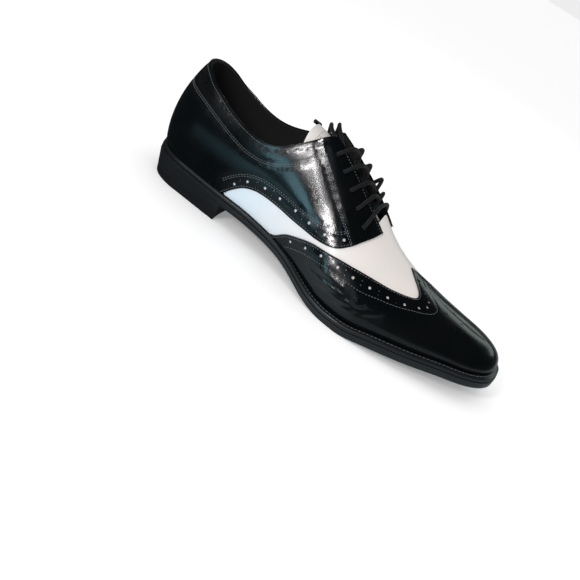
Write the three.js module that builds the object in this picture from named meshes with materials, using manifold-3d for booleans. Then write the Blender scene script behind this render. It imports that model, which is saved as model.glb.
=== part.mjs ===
// A right wing-tip spectator shoe: open-laced, on a stitched welt with a stacked heel, standing empty.
// Millimetres. X runs from heel to toe, Y towards the inner (medial) side, Z up from the floor.
// The origin is on the floor under the middle of the heel.
import * as THREE from 'three'
import { mergeVertices } from 'three/addons/utils/BufferGeometryUtils.js'
import Module from 'manifold-3d'

const wasm = await Module()
wasm.setup()

// Driving sizes
const LENGTH = 310 // outsole, back of the heel to the toe
const BALL_WIDTH = 108 // outsole across the ball
const INSTEP_HEIGHT = 117 // ridge of the last above the ankle
const BACK_HEIGHT = 95 // top edge at the back seam
const HEEL_HEIGHT = 16.5 // outsole's underside at the back
const TOE_SPRING = 15.2 // outsole's underside at the toe
const HEEL_LENGTH = 75 // back of the heel to its breast
const HEEL_TAPER = 1.4 // how far the heel's sides draw in at the floor
const HEEL_RAKE = 4.5 // how far its back draws in there
const HEEL_SET = 1.5 // the outsole starts this far forward of the measured back
const BREAST_HOLLOW = 3 // how far the heel's front face curves back
const LIFT_THICKNESS = 4.2
const SOLE_THICKNESS = 4.8
const WELT_THICKNESS = 3
const WELT_STEP = 0.7 // the welt's edge stands back from the outsole's
const INSOLE_THICKNESS = 3.4
const WALL = 2 // upper's leather with its lining
const OVERLAY = 1.2 // black leather laid over the white
const FACING = 0.7 // extra layer on the laced facings, outside the last's surface
const TONGUE_THICKNESS = 1.8
const LACE_DIAMETER = 3
const GAP = 0.3 // clearance between neighbouring pieces
const LACE_REST = 0.65 // clearance under a lace
const TONGUE_REST = 0.6 // clearance between the tongue and the upper's lining
const HEEL_SEAT = 35 // the origin, forward of the heel's back

// Rounding of the outline at its two ends: length along the shoe and squareness
const HEEL_ROUND = { length: 32, square: 2.2 }
const TOE_ROUND = { length: 32, square: 2.5 }

// Half widths of the outsole and its middle, as shares of BALL_WIDTH, at shares of LENGTH
const PLAN = [
  { at: 0.00, outer: 0.280, inner: 0.280, middle: 0.018 },
  { at: 0.10, outer: 0.284, inner: 0.284, middle: 0.018 },
  { at: 0.22, outer: 0.290, inner: 0.278, middle: 0.004 },
  { at: 0.34, outer: 0.304, inner: 0.236, middle: 0.000 },
  { at: 0.46, outer: 0.375, inner: 0.245, middle: 0.000 },
  { at: 0.56, outer: 0.488, inner: 0.350, middle: 0.000 },
  { at: 0.64, outer: 0.525, inner: 0.440, middle: 0.000 },
  { at: 0.72, outer: 0.497, inner: 0.465, middle: 0.000 },
  { at: 0.80, outer: 0.445, inner: 0.432, middle: 0.004 },
  { at: 0.90, outer: 0.350, inner: 0.350, middle: 0.014 },
  { at: 1.00, outer: 0.275, inner: 0.275, middle: 0.022 }
]

// Height of the outsole's underside, as shares of HEEL_HEIGHT and TOE_SPRING; below 0 it is flat on the floor
const UNDERSIDE = [
  { at: 0.00, heel: 1.00, toe: 0.00 },
  { at: 0.10, heel: 0.86, toe: 0.00 },
  { at: 0.22, heel: 0.81, toe: 0.00 },
  { at: 0.32, heel: 0.810, toe: 0.00 },
  { at: 0.44, heel: 0.625, toe: 0.00 },
  { at: 0.50, heel: 0.35, toe: 0.00 },
  { at: 0.54, heel: 0.165, toe: 0.00 },
  { at: 0.57, heel: 0.06, toe: 0.00 },
  { at: 0.60, heel: -0.005, toe: 0.00 },
  { at: 0.66, heel: 0.00, toe: 0.01 },
  { at: 0.72, heel: 0.00, toe: 0.21 },
  { at: 0.82, heel: 0.00, toe: 0.51 },
  { at: 0.92, heel: 0.00, toe: 0.82 },
  { at: 1.00, heel: 0.00, toe: 1.00 }
]

// Thickness of the outsole as a share of SOLE_THICKNESS: thinner under the arch
const SOLE = [
  { at: 0.00, thick: 1.00 },
  { at: 0.25, thick: 0.95 },
  { at: 0.42, thick: 0.72 },
  { at: 0.58, thick: 0.80 },
  { at: 0.72, thick: 1.00 },
  { at: 1.00, thick: 1.00 }
]

// How far the upper's foot stands in from the outsole's edge, in millimetres of ledge
const LEDGE = [
  { at: 0.00, in: 1.6 },
  { at: 0.20, in: 1.8 },
  { at: 0.42, in: 2.6 },
  { at: 0.60, in: 5.8 },
  { at: 1.00, in: 5.8 }
]

// The last's ridge: height as a share of INSTEP_HEIGHT, sideways as a share of BALL_WIDTH
const RIDGE = [
  { at: 0.08, up: 1.008, side: 0.000 },
  { at: 0.20, up: 1.000, side: 0.000 },
  { at: 0.30, up: 1.000, side: 0.010 },
  { at: 0.38, up: 0.957, side: 0.020 },
  { at: 0.44, up: 0.876, side: 0.030 },
  { at: 0.50, up: 0.765, side: 0.035 },
  { at: 0.56, up: 0.641, side: 0.035 },
  { at: 0.62, up: 0.521, side: 0.030 },
  { at: 0.68, up: 0.443, side: 0.030 },
  { at: 0.75, up: 0.385, side: 0.030 },
  { at: 0.82, up: 0.350, side: 0.030 },
  { at: 0.89, up: 0.329, side: 0.030 },
  { at: 0.95, up: 0.316, side: 0.030 }
]
const RIDGE_BACK = 2 // the ridge's curve starts here, forward of the heel's back
const RIDGE_TOE = 5.5 // and ends here, behind the toe
const TOE_SLOPE = 17 // the toe's front face leans back this far
const FAN = 0.35 // share of the girth lines that fan out at each end
const HEEL_FAN = 20 // how slowly the heel's girth lines spread

// Section of the last: roundness of its quarter curve, and its swell as a share of BALL_WIDTH
const SECTION = [
  { at: 0.00, round: 2.70, swell: 0.056 },
  { at: 0.08, round: 2.25, swell: 0.045 },
  { at: 0.17, round: 2.15, swell: 0.038 },
  { at: 0.30, round: 2.28, swell: 0.037 },
  { at: 0.40, round: 2.05, swell: 0.037 },
  { at: 0.50, round: 1.85, swell: 0.042 },
  { at: 0.60, round: 1.75, swell: 0.042 },
  { at: 0.70, round: 1.80, swell: 0.036 },
  { at: 0.80, round: 2.00, swell: 0.027 },
  { at: 0.90, round: 2.20, swell: 0.019 },
  { at: 1.00, round: 2.30, swell: 0.019 }
]

// Top edge seen from the side, as shares of BACK_HEIGHT behind the ankle and of INSTEP_HEIGHT before it;
// inner is what the inner side stands higher, as a share of BACK_HEIGHT
const TOPLINE = [
  { at: -0.04, back: 0.985, instep: 0.000, inner: 0.000 },
  { at: 0.024, back: 0.977, instep: 0.000, inner: 0.000 },
  { at: 0.057, back: 0.945, instep: 0.000, inner: -0.020 },
  { at: 0.086, back: 0.900, instep: 0.000, inner: -0.028 },
  { at: 0.118, back: 0.860, instep: 0.000, inner: -0.016 },
  { at: 0.167, back: 0.804, instep: 0.000, inner: 0.000 },
  { at: 0.215, back: 0.775, instep: 0.000, inner: 0.020 },
  { at: 0.252, back: 0.768, instep: 0.000, inner: 0.050 },
  { at: 0.279, back: 0.390, instep: 0.317, inner: 0.070 },
  { at: 0.304, back: 0.000, instep: 0.667, inner: 0.065 },
  { at: 0.326, back: 0.000, instep: 0.714, inner: 0.045 },
  { at: 0.352, back: 0.000, instep: 0.779, inner: 0.020 },
  { at: 0.380, back: 0.000, instep: 0.855, inner: 0.000 },
  { at: 0.395, back: 0.000, instep: 0.878, inner: 0.000 },
  { at: 0.410, back: 0.000, instep: 0.925, inner: 0.000 }
]

// Black quarters: lower edge seen from the side, heights as shares of INSTEP_HEIGHT
const QUARTER_EDGE = [
  { at: 0.215, up: 0.120 },
  { at: 0.228, up: 0.181 },
  { at: 0.248, up: 0.250 },
  { at: 0.271, up: 0.309 },
  { at: 0.300, up: 0.341 },
  { at: 0.333, up: 0.351 },
  { at: 0.369, up: 0.352 },
  { at: 0.417, up: 0.346 },
  { at: 0.487, up: 0.353 },
  { at: 0.524, up: 0.371 },
  { at: 0.542, up: 0.391 },
  { at: 0.562, up: 0.430 },
  { at: 0.579, up: 0.479 },
  { at: 0.598, up: 0.539 }
]

// Black wing cap: upper edge seen from the side, heights as shares of INSTEP_HEIGHT
const WING_EDGE = [
  { at: 0.380, up: 0.120 },
  { at: 0.388, up: 0.167 },
  { at: 0.419, up: 0.240 },
  { at: 0.450, up: 0.283 },
  { at: 0.485, up: 0.318 },
  { at: 0.527, up: 0.338 },
  { at: 0.591, up: 0.354 },
  { at: 0.655, up: 0.348 },
  { at: 0.694, up: 0.344 },
  { at: 0.732, up: 0.350 },
  { at: 0.748, up: 0.375 }
]

// Centre peak of the wing cap seen from above: half widths as shares of BALL_WIDTH
const PEAK = [
  { at: 0.695, half: 0.006 },
  { at: 0.700, half: 0.028 },
  { at: 0.708, half: 0.050 },
  { at: 0.718, half: 0.072 },
  { at: 0.728, half: 0.096 },
  { at: 0.738, half: 0.128 },
  { at: 0.750, half: 0.170 }
]
const PEAK_SIDE = 0.02 // the peak's middle, as a share of BALL_WIDTH

// Seam behind the laced facing, seen from the side, heights as shares of INSTEP_HEIGHT
const FACING_SEAM = [
  { at: 0.345, up: 0.860 },
  { at: 0.365, up: 0.811 },
  { at: 0.413, up: 0.716 },
  { at: 0.467, up: 0.611 },
  { at: 0.518, up: 0.523 },
  { at: 0.565, up: 0.442 },
  { at: 0.585, up: 0.405 }
]

// Opening between the facings seen from above: half widths as shares of BALL_WIDTH
const THROAT = [
  { at: 0.370, half: 0.124 },
  { at: 0.420, half: 0.120 },
  { at: 0.530, half: 0.117 },
  { at: 0.565, half: 0.112 },
  { at: 0.600, half: 0.098 }
]
const THROAT_END = 0.575 // the vamp starts here, under the facings' corners
const FACING_END = 0.620

// Tongue: drop of its ridge below the last as a share of INSTEP_HEIGHT, and its half width as a share of girth
const TONGUE = [
  { at: 0.326, drop: 0.122, edge: 0.56 },
  { at: 0.380, drop: 0.124, edge: 0.56 },
  { at: 0.420, drop: 0.124, edge: 0.57 },
  { at: 0.460, drop: 0.115, edge: 0.58 },
  { at: 0.500, drop: 0.092, edge: 0.60 },
  { at: 0.550, drop: 0.055, edge: 0.62 },
  { at: 0.590, drop: 0.020, edge: 0.64 },
  { at: 0.620, drop: 0.000, edge: 0.66 }
]
const TONGUE_FLAT = 0.62 // share of girth where the tongue starts to flatten

// Eyelets: shares along the shoe and round the girth for the top one, and the steps to the next ones
const EYELETS = { count: 5, along: 0.426, alongStep: 0.0315, girth: 0.757, girthStep: -0.023 }
const FACING_GIRTH = 0.87 // share of girth just past the facing's edge

// Colours of the leather, sole edge and lace
const BLACK = { color: 0x101214, roughness: 0.25, metalness: 0 }
const WHITE = { color: 0xe9eaea, roughness: 0.35, metalness: 0 }
const EDGE = { color: 0x1a1c1e, roughness: 0.5, metalness: 0 }
const LINING = { color: 0x2a2826, roughness: 0.8, metalness: 0 }
const LACE = { color: 0x15171a, roughness: 0.55, metalness: 0 }

// Number of stations along the shoe and rows up its side
const STATIONS = 36
const ROWS = [0, 0.1, 0.24, 0.4, 0.56, 0.72, 0.86, 1]

const along = count => Array.from({ length: count + 1 }, (_, i) => i / count)
const clamp = (value, low, high) => Math.min(Math.max(value, low), high)
const OUTER = -1
const INNER = 1

// A smooth curve through one column of a table
function smooth (rows, column) {
  const x = rows.map(row => row.at)
  const y = rows.map(row => row[column])
  const last = x.length - 1
  const slope = x.map((_, i) => {
    if (i === 0) return (y[1] - y[0]) / (x[1] - x[0])
    if (i === last) return (y[last] - y[last - 1]) / (x[last] - x[last - 1])
    const before = x[i] - x[i - 1]
    const after = x[i + 1] - x[i]
    const rise = before * before * (y[i + 1] - y[i]) + after * after * (y[i] - y[i - 1])
    return rise / (before * after * (before + after))
  })
  return at => {
    let i = 0
    while (i < last - 1 && at > x[i + 1]) i++
    const h = x[i + 1] - x[i]
    const t = clamp((at - x[i]) / h, 0, 1)
    const a = (1 + 2 * t) * (1 - t) ** 2 * y[i] + t * (1 - t) ** 2 * h * slope[i]
    return a + t * t * (3 - 2 * t) * y[i + 1] + t * t * (t - 1) * h * slope[i + 1]
  }
}

const outerHalf = smooth(PLAN, 'outer')
const innerHalf = smooth(PLAN, 'inner')
const middle = smooth(PLAN, 'middle')
const heelShare = smooth(UNDERSIDE, 'heel')
const toeShare = smooth(UNDERSIDE, 'toe')
const soleShare = smooth(SOLE, 'thick')
const ledge = smooth(LEDGE, 'in')
const ridgeUp = smooth(RIDGE, 'up')
const ridgeSide = smooth(RIDGE, 'side')
const roundness = smooth(SECTION, 'round')
const swell = smooth(SECTION, 'swell')

// Heights above the floor at a share of the length
const underside = at => Math.max(0, HEEL_HEIGHT * heelShare(at) + TOE_SPRING * toeShare(at))
const soleTop = at => underside(at) + SOLE_THICKNESS * soleShare(at)
const weltTop = at => soleTop(at) + GAP + WELT_THICKNESS
const ridgeHeight = at => INSTEP_HEIGHT * ridgeUp(at)

// Distance from the heel's back and relative half width at a share u of the way round one side
function wayRound (u, start, end) {
  const quarter = Math.PI / 2
  const heel = HEEL_ROUND.length
  const toe = TOE_ROUND.length
  const whole = end - start - heel - toe + (heel + toe) * quarter
  const heelPart = heel * quarter / whole
  const toePart = toe * quarter / whole
  if (u < heelPart) {
    const turn = Math.cos(quarter * u / heelPart)
    return { x: start + heel * (1 - turn), half: (1 - turn ** HEEL_ROUND.square) ** (1 / HEEL_ROUND.square), whole }
  }
  if (u > 1 - toePart) {
    const turn = Math.cos(quarter * Math.min(1, (1 - u) / toePart))
    return { x: end - toe * (1 - turn), half: (1 - turn ** TOE_ROUND.square) ** (1 / TOE_ROUND.square), whole }
  }
  return { x: start + heel + (u - heelPart) * whole, half: 1, whole }
}

// The outsole's outline on one side, and the same drawn in by inset(at)
function edge (side, u) {
  const { x, half } = wayRound(u, HEEL_SET, LENGTH)
  const width = (side === OUTER ? outerHalf : innerHalf)(x / LENGTH)
  return new THREE.Vector2(x, BALL_WIDTH * (middle(x / LENGTH) + side * width * half))
}

function drawnIn (side, u, inset) {
  const step = 1e-4
  const here = edge(side, u)
  const way = edge(side, Math.min(1, u + step)).sub(edge(side, Math.max(0, u - step))).normalize()
  const depth = inset(here.x / LENGTH)
  const end = u <= 0 || u >= 1
  return new THREE.Vector2(here.x + side * way.y * depth, end ? here.y : here.y - side * way.x * depth)
}

// The last's ridge at u: its girth lines fan out round the heel and the toe
function ridge (u) {
  const start = RIDGE_BACK
  const end = LENGTH - RIDGE_TOE
  const { x, whole } = wayRound(u, start, end)
  const spread = whole * FAN
  let place = x
  if (u > 1 - FAN) {
    const from = end - TOE_SLOPE
    const slow = 2 * (from - wayRound(1 - FAN, start, end).x) - spread
    const k = (1 - u) / FAN
    place = from - (slow * k + (spread - slow) * k * k / 2)
  } else if (u < FAN) {
    const k = u / FAN
    const to = wayRound(FAN, start, end).x
    place = to - (HEEL_FAN + spread) / 2 + HEEL_FAN * k + (spread - HEEL_FAN) * k * k / 2
  }
  const at = place / LENGTH
  return new THREE.Vector3(place, BALL_WIDTH * ridgeSide(at), ridgeHeight(at))
}

// A point of the last's section at u: turn runs from 0 at the foot to 1 at the ridge
function section (side, u, turn) {
  const flat = drawnIn(side, u, ledge)
  const at = flat.x / LENGTH
  const foot = new THREE.Vector3(flat.x, flat.y, weltTop(at))
  const top = ridge(u)
  const power = 2 / roundness(at)
  const angle = turn * Math.PI / 2
  const up = Math.sin(angle) ** power
  const inward = 1 - Math.max(0, Math.cos(angle)) ** power
  const across = new THREE.Vector2(top.x - foot.x, top.y - foot.y)
  const puff = BALL_WIDTH * swell(at) * Math.sin(Math.PI * up ** 0.75) * (1 - inward) / across.length()
  return new THREE.Vector3(
    foot.x + across.x * (inward - puff),
    foot.y + across.y * (inward - puff),
    foot.z + (top.z - foot.z) * up
  )
}

// The last's surface at u and a share of the girth from foot to ridge, measured along the section
const girthLines = new Map()
function girthLine (side, u) {
  const key = `${side} ${u}`
  if (!girthLines.has(key)) {
    const turns = along(48)
    const points = turns.map(turn => section(side, u, turn))
    const run = [0]
    points.forEach((point, i) => { if (i) run.push(run[i - 1] + point.distanceTo(points[i - 1])) })
    girthLines.set(key, { turns, run })
  }
  return girthLines.get(key)
}

function last (side, u, girth) {
  const { turns, run } = girthLine(side, u)
  const goal = clamp(girth, 0, 1) * run[run.length - 1]
  let i = 0
  while (i < run.length - 2 && run[i + 1] < goal) i++
  const share = (goal - run[i]) / (run[i + 1] - run[i])
  return section(side, u, turns[i] + share * (turns[i + 1] - turns[i]))
}

// A point off a surface made by shape(u, v), on the side that side * (du x dv) points to
function off (shape, side, u, v, lift) {
  const step = 0.004
  const dv = shape(u, Math.min(1, v + step)).sub(shape(u, v - step))
  const du = shape(u + step, v).sub(shape(u - step, v))
  return shape(u, v).addScaledVector(du.cross(dv).normalize(), -side * lift)
}
const offLast = (side, u, girth, lift) => off((a, b) => last(side, a, b), side, u, girth, lift)

// The share u whose ridge lies at a share of the length
function ridgeAt (at) {
  let low = 0
  let high = 1
  for (let i = 0; i < 30; i++) {
    const half = (low + high) / 2
    if (ridge(half).x < at * LENGTH) low = half
    else high = half
  }
  return low
}

// Closed mesh from points and faces, with doubled points merged and empty faces dropped
function closed (points, faces) {
  const geometry = new THREE.BufferGeometry()
  geometry.setAttribute('position', new THREE.Float32BufferAttribute(points.flatMap(p => [p.x, p.y, p.z]), 3))
  geometry.setIndex(faces.flat())
  const merged = mergeVertices(geometry, 1e-4)
  const index = Array.from(merged.index.array)
  const kept = []
  for (let i = 0; i < index.length; i += 3) {
    const [a, b, c] = index.slice(i, i + 3)
    if (a !== b && b !== c && c !== a) kept.push(a, b, c)
  }
  merged.setIndex(kept)
  return merged
}

function toSolid (geometry) {
  const bare = geometry.clone()
  bare.deleteAttribute('normal')
  bare.deleteAttribute('uv')
  const merged = mergeVertices(bare, 1e-4)
  const mesh = new wasm.Mesh({
    numProp: 3,
    vertProperties: new Float32Array(merged.attributes.position.array),
    triVerts: new Uint32Array(merged.index.array)
  })
  return new wasm.Manifold(mesh)
}

function toGeometry (solid) {
  const mesh = solid.getMesh()
  const geometry = new THREE.BufferGeometry()
  geometry.setAttribute('position', new THREE.BufferAttribute(new Float32Array(mesh.vertProperties), 3))
  geometry.setIndex(new THREE.BufferAttribute(new Uint32Array(mesh.triVerts), 1))
  return geometry
}

// A slab between two grids of points, closed round its rim
function slab (top, under) {
  const rows = top.length
  const columns = top[0].length
  const points = [...top.flat(), ...under.flat()]
  const half = rows * columns
  const id = (i, j) => i * columns + j
  const faces = []
  const quad = (a, b, c, d) => faces.push([a, b, c], [a, c, d])
  for (let i = 0; i < rows - 1; i++) {
    for (let j = 0; j < columns - 1; j++) {
      quad(id(i, j), id(i + 1, j), id(i + 1, j + 1), id(i, j + 1))
      quad(half + id(i, j), half + id(i, j + 1), half + id(i + 1, j + 1), half + id(i + 1, j))
    }
    quad(id(i, 0), half + id(i, 0), half + id(i + 1, 0), id(i + 1, 0))
    quad(id(i + 1, columns - 1), half + id(i + 1, columns - 1), half + id(i, columns - 1), id(i, columns - 1))
  }
  for (let j = 0; j < columns - 1; j++) {
    quad(id(0, j + 1), half + id(0, j + 1), half + id(0, j), id(0, j))
    quad(id(rows - 1, j), half + id(rows - 1, j), half + id(rows - 1, j + 1), id(rows - 1, j + 1))
  }
  return closed(points, faces)
}

// A sole layer: outline drawn in by inset(at), between two heights over the length
function layer (inset, topHeight, underHeight, count = STATIONS, reach = 1) {
  const grid = height => along(count).map(i => {
    const u = i * reach
    return [OUTER, INNER].map(side => {
      const flat = drawnIn(side, u, inset)
      return new THREE.Vector3(flat.x, flat.y, height(flat.x / LENGTH))
    })
  })
  return slab(grid(topHeight), grid(underHeight))
}

// Stations all the way round: out along the outer side, back along the inner
const roundTrip = count => [
  ...along(count).map(u => [OUTER, u]),
  ...along(count).reverse().slice(1, -1).map(u => [INNER, u])
]

// The welt: a closed band between an outer and an inner outline
function band (outset, inset, topHeight, underHeight) {
  const loops = roundTrip(STATIONS).map(([side, u]) => {
    const corner = (drawn, height) => {
      const flat = drawnIn(side, u, drawn)
      return new THREE.Vector3(flat.x, flat.y, height(flat.x / LENGTH))
    }
    return [corner(outset, topHeight), corner(inset, topHeight), corner(inset, underHeight), corner(outset, underHeight)]
  })
  const faces = []
  loops.forEach((_, i) => {
    const next = (i + 1) % loops.length
    for (let k = 0; k < 4; k++) {
      const a = i * 4 + k
      const b = i * 4 + (k + 1) % 4
      const c = next * 4 + (k + 1) % 4
      const d = next * 4 + k
      faces.push([a, d, c], [a, c, b])
    }
  })
  return closed(loops.flat(), faces)
}

// The whole last as a closed form, lifted off its surface, with a skirt below the foot
const SKIRT = 7
function form (lift) {
  const trip = roundTrip(STATIONS)
  const stations = along(STATIONS)
  const side = trip.map(([s, u]) => {
    const column = ROWS.slice(0, -1).map(girth => last(s, u, girth))
    const hem = column[0].clone().setZ(column[0].z - SKIRT)
    return [hem, ...column]
  })
  const crest = stations.map(u => last(OUTER, u, 1))
  const height = ROWS.length
  const points = [...side.flat(), ...crest]
  const id = (column, row) => {
    if (row < height) return (column % trip.length) * height + row
    const place = column % trip.length
    return trip.length * height + (place <= STATIONS ? place : 2 * STATIONS - place)
  }
  const skin = []
  for (let i = 0; i < trip.length; i++) {
    for (let row = 0; row < height; row++) {
      skin.push([id(i, row), id(i + 1, row), id(i + 1, row + 1)], [id(i, row), id(i + 1, row + 1), id(i, row + 1)])
    }
  }
  const geometry = new THREE.BufferGeometry().setFromPoints(points)
  geometry.setIndex(skin.flat())
  geometry.computeVertexNormals()
  const normal = geometry.attributes.normal
  const lifted = points.map((point, i) => {
    const way = new THREE.Vector3().fromBufferAttribute(normal, i)
    if (i < side.flat().length && i % height === 0) way.setZ(0).normalize()
    return point.clone().addScaledVector(way, lift)
  })
  const floor = []
  for (let i = 0; i < STATIONS; i++) {
    const far = column => (2 * STATIONS - column) % trip.length
    floor.push([id(i, 0), id(far(i), 0), id(far(i + 1), 0)], [id(i, 0), id(far(i + 1), 0), id(i + 1, 0)])
  }
  return toSolid(closed(lifted, [...skin, ...floor]))
}

// A cutter with an outline seen from the side, across the whole shoe
const REACH = 400
function fromSide (outline) {
  const shape = new THREE.Shape(outline.map(([at, up]) => new THREE.Vector2(at * LENGTH, up)))
  const geometry = new THREE.ExtrudeGeometry(shape, { depth: 2 * REACH, bevelEnabled: false })
  return toSolid(geometry.rotateX(Math.PI / 2).translate(0, REACH, 0))
}

// A cutter with half widths seen from above, from a height upwards
function fromAbove (rows, centre, lowest) {
  const half = smooth(rows, 'half')
  const first = rows[0].at
  const end = rows[rows.length - 1].at
  const places = along(14).map(t => first + t * (end - first))
  const rim = side => places.map(at => new THREE.Vector2(at * LENGTH, BALL_WIDTH * (centre + side * half(at))))
  const shape = new THREE.Shape([...rim(OUTER), ...rim(INNER).reverse()])
  const geometry = new THREE.ExtrudeGeometry(shape, { depth: REACH, bevelEnabled: false })
  return toSolid(geometry.translate(0, 0, lowest))
}

// Everything on one side of the back seam
function halfSpace (side, gap) {
  const seam = BALL_WIDTH * middle(0)
  const box = new THREE.BoxGeometry(2 * REACH, REACH, 2 * REACH)
  return toSolid(box.translate(0, seam + side * (REACH / 2 + gap / 2), 0))
}

// Below the welt's top, and above the topline and between the facings
function belowWelt () {
  const places = along(60).map(t => -0.05 + 1.1 * t)
  const grid = height => places.map(at => [-REACH, REACH].map(y => new THREE.Vector3(at * LENGTH, y, height(at))))
  const over = at => weltTop(clamp(at, 0, 1)) + GAP
  return toSolid(slab(grid(over), grid(() => -REACH)))
}

const backPart = smooth(TOPLINE, 'back')
const instepPart = smooth(TOPLINE, 'instep')
const innerPart = smooth(TOPLINE, 'inner')
const topEdge = (side, at) => {
  const rise = side === INNER ? BACK_HEIGHT * innerPart(at) : 0
  return BACK_HEIGHT * backPart(at) + INSTEP_HEIGHT * instepPart(at) + rise
}
const MOUTH_STEPS = 26

function aboveTopline () {
  const first = TOPLINE[0].at
  const end = TOPLINE[TOPLINE.length - 1].at
  const places = along(MOUTH_STEPS).map(t => first + t * (end - first))
  const half = side => {
    const line = places.map(at => [at, topEdge(side, at)])
    return fromSide([...line, [end + 0.01, REACH], [first, REACH]]).intersect(halfSpace(side, 0))
  }
  return half(OUTER).add(half(INNER))
}

// Outline points of an edge table, as heights
const edgePoints = (rows, steps) => {
  const up = smooth(rows, 'up')
  const first = rows[0].at
  const end = rows[rows.length - 1].at
  return along(steps).map(t => first + t * (end - first)).map(at => [at, INSTEP_HEIGHT * up(at)])
}

function quarterRegion () {
  const line = edgePoints(QUARTER_EDGE, 20)
  const corner = line[line.length - 1]
  const low = QUARTER_EDGE[0].at
  return fromSide([[-0.1, -REACH], [low, -REACH], ...line, [corner[0] + 0.005, REACH], [-0.1, REACH]])
}

function facingRegion () {
  const line = edgePoints(FACING_SEAM, 10)
  return fromSide([...line, [1, 0], [1, REACH], [FACING_SEAM[0].at, REACH]])
}

function wingRegion () {
  const line = edgePoints(WING_EDGE, 18)
  const end = WING_EDGE[WING_EDGE.length - 1].at
  const wings = fromSide([[WING_EDGE[0].at, -REACH], ...line, [end, REACH], [1.1, REACH], [1.1, -REACH]])
  return wings.add(fromAbove(PEAK, PEAK_SIDE, weltTop(PEAK[0].at)))
}

// Round lace along chosen points
const round = new THREE.Shape(along(7).map(t => {
  const angle = 2 * Math.PI * t * 7 / 8
  return new THREE.Vector2(Math.cos(angle), Math.sin(angle)).multiplyScalar(LACE_DIAMETER / 2)
}))
function lace (points, step = 3 * LACE_DIAMETER) {
  const path = new THREE.CatmullRomCurve3(points, false, 'centripetal')
  const steps = Math.max(3, Math.round(path.getLength() / step))
  return new THREE.ExtrudeGeometry(round, { steps, extrudePath: path, bevelEnabled: false })
}

const model = new THREE.Group()
model.position.x = -HEEL_SEAT
function add (name, geometry, finish) {
  const mesh = new THREE.Mesh(geometry, new THREE.MeshStandardMaterial(finish))
  mesh.name = name
  model.add(mesh)
}

// Sole: outsole, welt, heel and insole
const none = () => 0
add('outsole', layer(none, soleTop, underside), EDGE)
const wallFoot = at => ledge(at) + GAP + OVERLAY
add('welt', band(() => WELT_STEP, at => wallFoot(at) + WALL / 2, weltTop, at => soleTop(at) + GAP), EDGE)
add('insole', layer(
  at => wallFoot(at) + WALL + 2 * GAP,
  at => soleTop(at) + GAP + INSOLE_THICKNESS,
  at => soleTop(at) + GAP
), LINING)

// A heel layer: outline drawn in by taper towards the floor, its front face hollow
function heelPiece (topHeight, underHeight) {
  const reach = ridgeAtEdge(HEEL_LENGTH)
  const spread = along(4)
  const grid = height => along(12).map(i => {
    const u = i * reach
    return spread.map(t => {
      const x = edge(OUTER, u).x
      const low = 1 - clamp(height(x / LENGTH) / HEEL_HEIGHT, 0, 1)
      const back = Math.max(0, 1 - x / HEEL_ROUND.length)
      const inset = () => low * (HEEL_TAPER + (HEEL_RAKE - HEEL_TAPER) * back)
      const from = drawnIn(OUTER, u, inset)
      const to = drawnIn(INNER, u, inset)
      const hollow = BREAST_HOLLOW * (x / HEEL_LENGTH) ** 3 * (1 - (2 * t - 1) ** 2)
      const place = from.x + t * (to.x - from.x) - hollow
      return new THREE.Vector3(place, from.y + t * (to.y - from.y), height(place / LENGTH))
    })
  })
  return slab(grid(topHeight), grid(underHeight))
}

// The share u at which the outline has come a distance forward of the heel's back
function ridgeAtEdge (distance) {
  let low = 0
  let high = 1
  for (let i = 0; i < 30; i++) {
    const half = (low + high) / 2
    if (edge(OUTER, half).x < distance) low = half
    else high = half
  }
  return low
}
add('heel_block', heelPiece(at => underside(at) - GAP, () => LIFT_THICKNESS + GAP), EDGE)
add('heel_lift', heelPiece(() => LIFT_THICKNESS, () => 0), EDGE)

// Upper: one hollow wall, open at the collar, between the facings and underneath
const SKIN = GAP + OVERLAY // the last's surface is the outside of the black leather
const ground = belowWelt()
const collar = aboveTopline()
const throatRows = end => {
  const half = smooth(THROAT, 'half')
  return [...THROAT.filter(row => row.at < end), { at: end, half: half(end) }]
}
const throat = fromAbove(throatRows(THROAT_END), 0, INSTEP_HEIGHT / 3)
const facingGap = fromAbove([...THROAT, { at: FACING_END, half: 0.08 }], 0, INSTEP_HEIGHT / 3)
const wall = form(-SKIN).subtract(form(-SKIN - WALL))
add('upper', toGeometry(wall.subtract(ground).subtract(collar).subtract(throat)), WHITE)

// Black overlays, cut between two forms larger than the upper
const inside = form(-OVERLAY)
const leather = form(0).subtract(inside).subtract(ground)
const thick = form(FACING).subtract(inside).subtract(ground)
add('wing_cap', toGeometry(leather.intersect(wingRegion())), BLACK)
const quarters = leather.add(thick.intersect(facingRegion()))
  .intersect(quarterRegion()).subtract(collar).subtract(facingGap)
add('quarter_outer', toGeometry(quarters.intersect(halfSpace(OUTER, GAP))), BLACK)
add('quarter_inner', toGeometry(quarters.intersect(halfSpace(INNER, GAP))), BLACK)

// Tongue: under the facings, flattened between them
const tongueDrop = smooth(TONGUE, 'drop')
const tongueEdge = smooth(TONGUE, 'edge')
function tongueFace (side, at, girth) {
  const u = ridgeAt(at)
  const flat = Math.sin(Math.PI / 2 * clamp((girth - TONGUE_FLAT) / (1 - TONGUE_FLAT), 0, 1)) ** 2
  const point = offLast(side, u, girth, -SKIN - WALL - TONGUE_REST)
  point.z -= INSTEP_HEIGHT * tongueDrop(at) * flat
  return point
}
function tongue () {
  const first = TONGUE[0].at
  const end = TONGUE[TONGUE.length - 1].at
  const places = along(14).map(t => first + t * (end - first))
  const across = [...along(6).map(t => [OUTER, t]), ...along(6).reverse().slice(1).map(t => [INNER, t])]
  const grid = depth => places.map(at => across.map(([side, t]) => {
    const low = tongueEdge(at)
    const girth = low + t * (1 - low)
    return off((a, b) => tongueFace(side, a, b), side, at, girth, -depth)
  }))
  return slab(grid(0), grid(TONGUE_THICKNESS))
}
add('tongue', tongue(), WHITE)

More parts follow.
